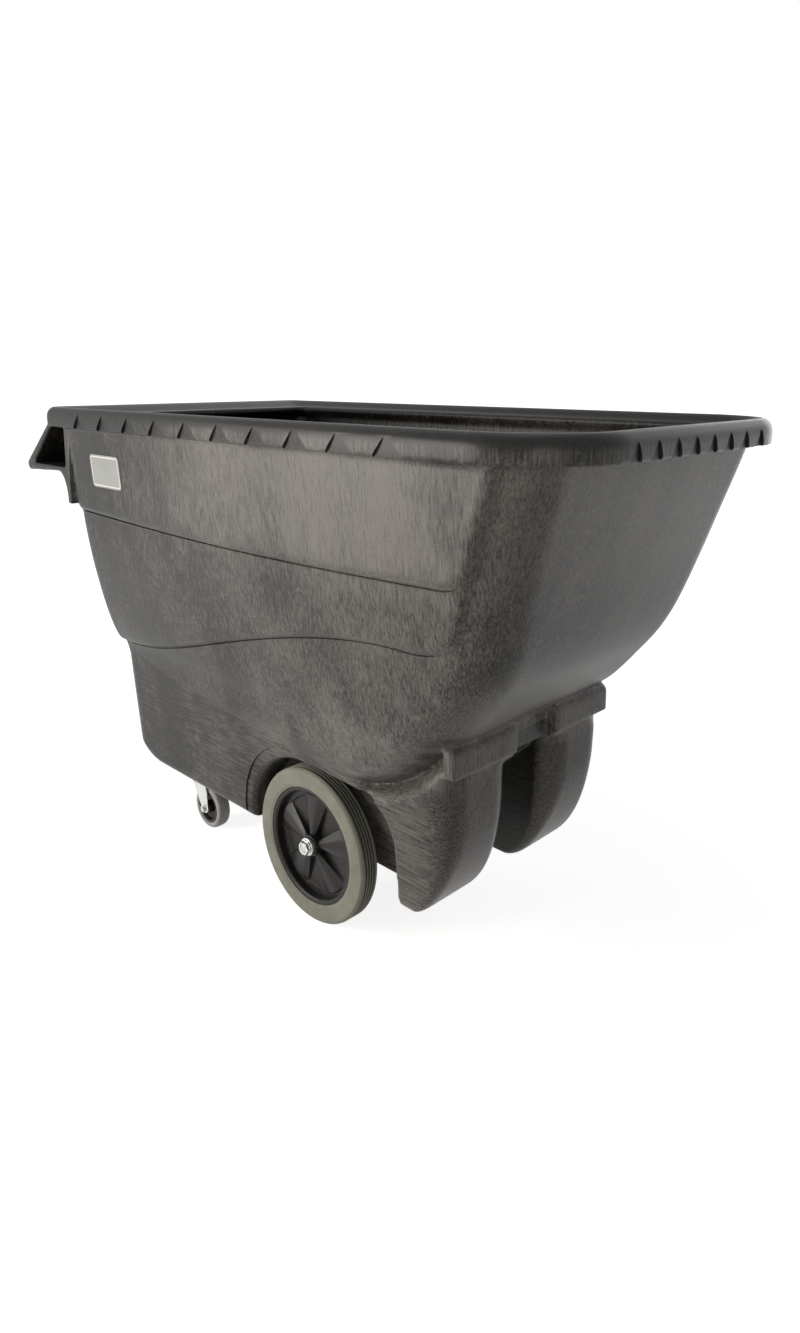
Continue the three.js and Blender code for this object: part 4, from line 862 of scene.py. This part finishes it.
def hub():
    inside = HUB_SEAT - HUB_RIM_WALL
    back = softened([
        (BOSS_RADIUS, WEB_TOP), (BOSS_RADIUS, BOSS_OUT), (HUB_BORE, BOSS_OUT), (HUB_BORE, BOSS_IN),
        (BOSS_RADIUS, BOSS_IN), (BOSS_RADIUS, WEB_LOW), (inside, WEB_LOW), (inside, -HUB_RIM),
        (HUB_SEAT, -HUB_RIM), (HUB_SEAT, HUB_RIM),
        (inside + HUB_BEVEL, HUB_RIM), (inside, HUB_RIM - HUB_BEVEL), (inside, WEB_TOP),
    ], 1.4)[5:-5]
    ledge, end = np.linspace(inside - 0.6, SPOKE_TIP + 2, 3), np.linspace(SPOKE_TIP + 1, SPOKE_TIP - 2, 7)
    radii = np.concatenate([back[:, 0], ledge, end, np.linspace(SPOKE_TIP - 5, BOSS_RADIUS + 0.4, 24)])

    def at(pair):
        return lerp(*pair, np.clip((radii - SPOKE_ROOT) / (SPOKE_TIP - SPOKE_ROOT), 0, 1))

    reach = np.clip(radii, BOSS_RADIUS, SPOKE_TIP)
    lines = {
        "start": 0 * radii,
        "crown": np.arcsin(at(CROWN_HALF) / reach), "side": np.arcsin(at(SPOKE_HALF) / reach),
        "wall": np.arcsin((at(SPOKE_HALF) + SPOKE_WALL) / reach), "gap": 0 * radii + math.pi / SPOKES,
    }
    floor = WEB_TOP + LEDGE_RISE * ease((radii - LEDGE_RADIUS) / 1.5)
    high = at(SPOKE_HIGH)
    levels = {"start": high, "crown": high, "side": high - at(SPOKE_FALL), "wall": floor, "gap": floor}
    before = {"crown": "start", "side": "crown", "wall": "side", "gap": "wall"}
    tip = 1 - ease((radii - SPOKE_TIP + 1.5) / 2.0)
    rings = []
    for i in range(SPOKES):
        for sign, kind, share in hub_columns():
            turn = (i / SPOKES + 1 / 4) * 2 * math.pi + sign * lerp(lines[before[kind]], lines[kind], share)
            curve = ease(share) if kind == "wall" else share
            z = lerp(floor, lerp(levels[before[kind]], levels[kind], curve), tip)
            z[:len(back)] = back[:, 1]
            rings.append(np.stack([radii * np.cos(turn), radii * np.sin(turn), z], 1))
    return loft("hub", rings, True)


def nut(flats, low, high):
    """A hexagon nut with chamfered corners."""
    rings = []
    bore, corner = AXLE_RADIUS + NUT_PLAY, flats / math.sqrt(3)
    for turn in np.arange(72) / 72 * 2 * math.pi:
        reach = flats / 2 / math.cos((turn % (math.pi / 3)) - math.pi / 6)
        below = [(low, 0.0), (low + 0.8, 0.35), (low + 2.0, 1.0)]
        levels = [*below, (high - 2.0, 1.0), (high - 0.8, 0.35), (high, 0.0)]
        outer = [(min(reach, lerp(flats / 2 - 0.6, corner, share)), z) for z, share in levels]
        section = [(bore, low + 0.8), *outer, (bore + 0.8, high), (bore, high - 0.8)]
        rings.append([(r * math.cos(turn), r * math.sin(turn), z) for r, z in section])
    return loft("nut", rings, True)


def axle():
    """The axle, with its threads where the nuts sit and rounded ends."""
    pitch, deep = 1.5, 0.7
    threads = []
    for z in np.arange(NUT_LOW - 1.0, AXLE_END - 2.4, pitch):
        threads += [(AXLE_RADIUS, z), (AXLE_RADIUS - deep, z + pitch / 2)]
    half = [(AXLE_RADIUS, 0.0), *threads, (AXLE_RADIUS, AXLE_END - 2.2), (AXLE_RADIUS - 1.2, AXLE_END - 0.5)]
    half += [(AXLE_RADIUS / 2, AXLE_END), (0.01, AXLE_END)]
    return turned("axle", [*[(r, -z) for r, z in reversed(half[1:])], *half], 48)


def washer():
    inner, outer, low, high = AXLE_RADIUS + NUT_PLAY, WASHER_RADIUS, WASHER_LOW, WASHER_HIGH
    return turned("washer", softened([(inner, low), (outer, low), (outer, high), (inner, high)], 0.5), 72)


def bushing():
    low, high, flange, wall, wide, play = BOSS_IN - 0.3, BOSS_OUT + 0.3, 3.0, 3.0, 16.0, 0.35
    bore, outer = AXLE_RADIUS + play, AXLE_RADIUS + play + wall
    return turned("bushing", softened([
        (bore, low - flange), (wide, low - flange), (wide, low), (outer, low), (outer, high), (wide, high),
        (wide, high + flange), (bore, high + flange),
    ], 0.7), 72)


def caster_core():
    bore, boss, boss_half, foot = 7.3, 13.0, 18.0, 14.5
    web, web_edge, rim_inside, rim, half = 4.0, 29.0, 32.0, 37.0, 15.0
    return turned("core", softened([
        (bore, -boss_half), (boss, -boss_half), (foot, -web), (web_edge, -web - 1), (rim_inside, -half),
        (rim, -half), (rim, half), (rim_inside, half), (web_edge, web + 1), (foot, web),
        (boss, boss_half), (bore, boss_half),
    ], 1.6))


def caster_tread():
    seat, half = 37.3, 16.0
    return turned("tread", softened([
        (seat, -half + 1.5), (seat + 2.5, -half), (CASTER_RADIUS - 5, -half), (CASTER_RADIUS - 1, -half + 4),
        (CASTER_RADIUS, -5), (CASTER_RADIUS, 5), (CASTER_RADIUS - 1, half - 4), (CASTER_RADIUS - 5, half),
        (seat + 2.5, half), (seat, half - 1.5),
    ], 2.4))


def fork():
    """A pressed fork: a round crown and two legs that taper to the wheel's bolt."""
    crown_low, crown_high, crown_radius, half, leg, top = 129.1, 132.6, 30.0, 23.0, 3.2, 27.0
    eye, neck_z, bolt_hole, pin_hole = 12.0, 91.0, 5.2, 6.4
    outline = [
        *arc(CASTER_TRAIL, CASTER_RADIUS, eye, -160, 20, 19), (CASTER_TRAIL + 9, neck_z), (top, crown_low - 4),
        (top, crown_high), (-top, crown_high), (-top, crown_low - 8),
    ]
    crown = turned("crown", [
        (0.01, crown_low), (crown_radius, crown_low), (crown_radius, crown_high), (0.01, crown_high)])
    flat = [(-top, crown_low), (top, crown_low), (top, crown_high), (-top, crown_high)]
    deck = across("deck", flat, -half, half)
    legs = [across("leg", outline, a, a + leg) for a in (-half, half - leg)]
    whole = combine(crown, "UNION", [deck, *legs])
    bolt = turned("hole", [(0.01, -60), (bolt_hole, -60), (bolt_hole, 60), (0.01, 60)], 32)
    bolt.data.transform(placed(CASTER_TRAIL, 0, CASTER_RADIUS, math.pi / 2))
    pin = turned("hole", [(0.01, 100), (pin_hole, 100), (pin_hole, 150), (0.01, 150)], 32)
    combine(whole, "DIFFERENCE", [bolt, pin])
    modified(whole, "REMESH", mode="VOXEL", voxel_size=FORK_VOXEL)
    modified(whole, "SMOOTH", factor=0.5, iterations=3)
    return modified(whole, "DECIMATE", ratio=0.3)


# The bare plate on the near side

LABEL_X, LABEL_Z, LABEL_CORNER, LABEL_THICK = (-434.0, -314.0), (817.0, 886.0), 9.0, 1.0
LINE_INSET, LINE_WIDTH, LINE_PROUD = 3.0, 2.6, 0.25


def label_outline(inset, lift):
    """The plate's outline, drawn in by the inset and lifted off the panel."""
    low, high = np.array([LABEL_X[0], LABEL_Z[0]]) + inset, np.array([LABEL_X[1], LABEL_Z[1]]) - inset
    radius = max(LABEL_CORNER - inset, 0.5)
    points = []
    corners = ((high[0], high[1], 0), (low[0], high[1], 90), (low[0], low[1], 180), (high[0], low[1], 270))
    for x, z, start in corners:
        middle_x = x - math.copysign(radius, x - sum(LABEL_X) / 2)
        middle_z = z - math.copysign(radius, z - sum(LABEL_Z) / 2)
        points += [*arc(middle_x, middle_z, radius, start, start + 90, 8)]
    out = []
    for x, z in points:
        side = tub_plan(z)[:len(SIDE_PLACES)]
        out.append((x, -(np.interp(x, side[:, 0], -side[:, 1]) + PANEL_RISE + PANEL_UPPER + lift), z))
    return out


def label():
    face = [(inset, LABEL_THICK) for inset in (4, 10, 18, 26, 32)]
    steps = [(1.0, -2.0), (0.0, 0.0), (0.0, 0.7), (0.3, LABEL_THICK), *face]
    plate = loft("label_plate", [label_outline(*one) for one in steps])
    low, high = LABEL_THICK - 0.3, LABEL_THICK + LINE_PROUD
    inner = LINE_INSET + LINE_WIDTH
    edges = ((LINE_INSET, low), (LINE_INSET, high), (inner, high), (inner, low))
    return plate, loft("label_line", [label_outline(*one) for one in edges], True)


# Dressing the pieces

FINISHES = {
    "moulding": moulding_finish("moulded_plastic"),
    # Painted shade: the moulding at 0.3 of its colour, for the flutes, the tunnel and the gap between the pads.
    "recess": moulding_finish("moulding_painted_shade", 0.3),
    "film": film_finish(),
    "tyre": tyre_finish(),
    "hub": hub_finish(),
    "zinc": metal_finish("zinc_plate", (0.55, 0.56, 0.56), (0.74, 0.74, 0.73), 0.24),
    "steel": metal_finish("bright_steel", (0.42, 0.42, 0.42), (0.58, 0.58, 0.57), 0.28),
    "bush": bush_finish(),
    "tread": rubber_finish("caster_rubber", (0.27, 0.26, 0.25), (0.38, 0.37, 0.36)),
}


def finish_piece(piece, body, slot, *nodes):
    """Gives a new piece its finish and its body, and hides the frame's nodes that it stands for."""
    piece.data.materials.clear()
    piece.data.materials.append(FINISHES[slot])
    if piece.name == "hopper_skin":
        # The second material is painted shade for the flutes, the tunnel and the gap between the pads.
        piece.data.materials.append(FINISHES["recess"])
        mark_painted_shade(piece.data)
    piece.data.shade_smooth()
    piece.data.set_sharp_from_angle(angle=math.radians(38))
    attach(piece, body)
    if nodes:
        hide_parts(*nodes)


for part in frame["record"]["subparts"]:
    node = frame["nodes"][part["node"]]
    node.data.materials.clear()
    node.data.materials.append(FINISHES[part["material_slot"]])

finish_piece(hopper(), "truck", "moulding", "hopper")

for end, side in (("right", -1), ("left", 1)):
    wheel, truck, caster = f"wheel_{end}", "truck", f"caster_{end}"
    outwards = -side * math.pi / 2
    hub_place = placed(WHEEL_X, side * WHEEL_Y, WHEEL_RADIUS, outwards)
    on_axle = placed(WHEEL_X, 0, WHEEL_RADIUS, outwards)
    caster_place = placed(CASTER_X, side * CASTER_Y, 0)
    pin_place = caster_place @ placed(CASTER_TRAIL, 0, CASTER_RADIUS, math.pi / 2)
    for name, piece, body, slot, place in (
        (f"wheel_{end}_tyre", tyre(), wheel, "tyre", hub_place),
        (f"wheel_{end}_hub", hub(), wheel, "hub", hub_place),
        (f"wheel_{end}_bushing", bushing(), wheel, "bush", hub_place),
        (f"wheel_{end}_washer_outer", washer(), truck, "zinc", on_axle),
        (f"wheel_{end}_axle_nut", nut(NUT_FLATS, NUT_LOW, NUT_HIGH), truck, "zinc", on_axle),
        (f"caster_{end}_fork", fork(), caster, "zinc", caster_place),
        (f"caster_{end}_core", caster_core(), f"caster_wheel_{end}", "hub", pin_place),
        (f"caster_{end}_tread", caster_tread(), f"caster_wheel_{end}", "tread", pin_place),
    ):
        piece.data.transform(place)
        piece.name = name + "_skin"
        finish_piece(piece, body, slot, name)

shaft = axle()
shaft.data.transform(placed(WHEEL_X, 0, WHEEL_RADIUS, math.pi / 2))
shaft.name = "axle_skin"
finish_piece(shaft, "truck", "steel", "axle")

plate, line = label()
finish_piece(plate, "truck", "bush")
plate.data.materials[0] = FINISHES["film"]
finish_piece(line, "truck", "bush")


# Camera, floor and lights

WORLD_LIGHT = 0.04
FLOOR_GLOW, FLOOR_FADE = 0.82, 0.36


def camera():
    data = bpy.data.cameras.new("camera")
    data.lens = CAMERA_LENS
    data.shift_x, data.shift_y = CAMERA_SHIFT
    data.clip_end = 100.0
    one = bpy.data.objects.new("camera", data)
    one.location = CAMERA_PLACE
    one.rotation_euler = CAMERA_TURN
    bpy.context.scene.collection.objects.link(one)
    bpy.context.scene.camera = one


def area_light(name, place, aim, size, power, colour=(1.0, 1.0, 1.0)):
    data = bpy.data.lights.new(name, "AREA")
    data.color = colour
    data.shape = "RECTANGLE"
    data.size, data.size_y = size
    data.energy = power
    one = bpy.data.objects.new(name, data)
    one.location = place
    one.rotation_euler = (Vector(aim) - Vector(place)).to_track_quat("-Z", "Y").to_euler()
    bpy.context.scene.collection.objects.link(one)


def seen_directly(f):
    """1 for what the camera, a reflection or a clear material sees, and 0 for light that falls on things."""
    names = ("Is Camera Ray", "Is Glossy Ray", "Is Transmission Ray")
    straight, mirrored, through_clear = [f.node("LightPath", output=name) for name in names]
    return f.node("Clamp", {}, {0: straight + mirrored + through_clear})


def floor():
    half = 30.0
    mesh = bpy.data.meshes.new("floor")
    corners = [(-half, -half, 0), (half, -half, 0), (half, half, 0), (-half, half, 0)]
    mesh.from_pydata(corners, [], [(0, 1, 2, 3)])
    f = Finish("pale_floor")
    paint = f.node("BsdfDiffuse", {}, {"Color": (0.80, 0.80, 0.80, 1.0)})
    away = f.node("VectorMath", {"operation": "LENGTH"}, {0: f.place}, 1)
    strength = seen_directly(f) * (FLOOR_GLOW + f.between(away, 0.7, 2.6) * FLOOR_FADE)
    glow = f.node("Emission", {}, {"Strength": strength})
    f.node("OutputMaterial", {}, {"Surface": f.node("AddShader", {}, {0: paint, 1: glow})})
    mesh.materials.append(f.material)
    object_of("floor", mesh)


def studio():
    world = bpy.data.worlds.new("studio")
    f = Finish("studio", world)
    strength = WORLD_LIGHT + seen_directly(f) * (1.0 - WORLD_LIGHT)
    sky = f.node("Background", {}, {"Color": (1.0, 1.0, 1.0, 1.0), "Strength": strength})
    f.node("OutputWorld", {}, {"Surface": sky})
    bpy.context.scene.world = world


camera()
floor()
studio()
area_light("side_light", (-1.5, -2.65, 0.95), (0.3, -0.35, 0.7), (1.5, 1.9), 80.0, (1.0, 0.965, 0.91))
area_light("near_light", (2.1, -1.8, 0.9), (0.6, -0.35, 0.7), (0.35, 1.6), 9.0, (1.0, 0.965, 0.91))
area_light("end_light", (2.6, 0.9, 0.7), (0.7, 0.0, 0.8), (0.5, 1.2), 1.3, (0.95, 0.98, 1.0))
area_light("far_light", (0.4, 3.1, 1.2), (-0.2, 0.35, 0.6), (2.0, 1.8), 24.0)
area_light("overhead_light", (0.0, 0.4, 4.0), (0.0, 0.0, 0.5), (2.0, 2.0), 6.4)

bpy.context.scene.view_settings.view_transform = "Standard"
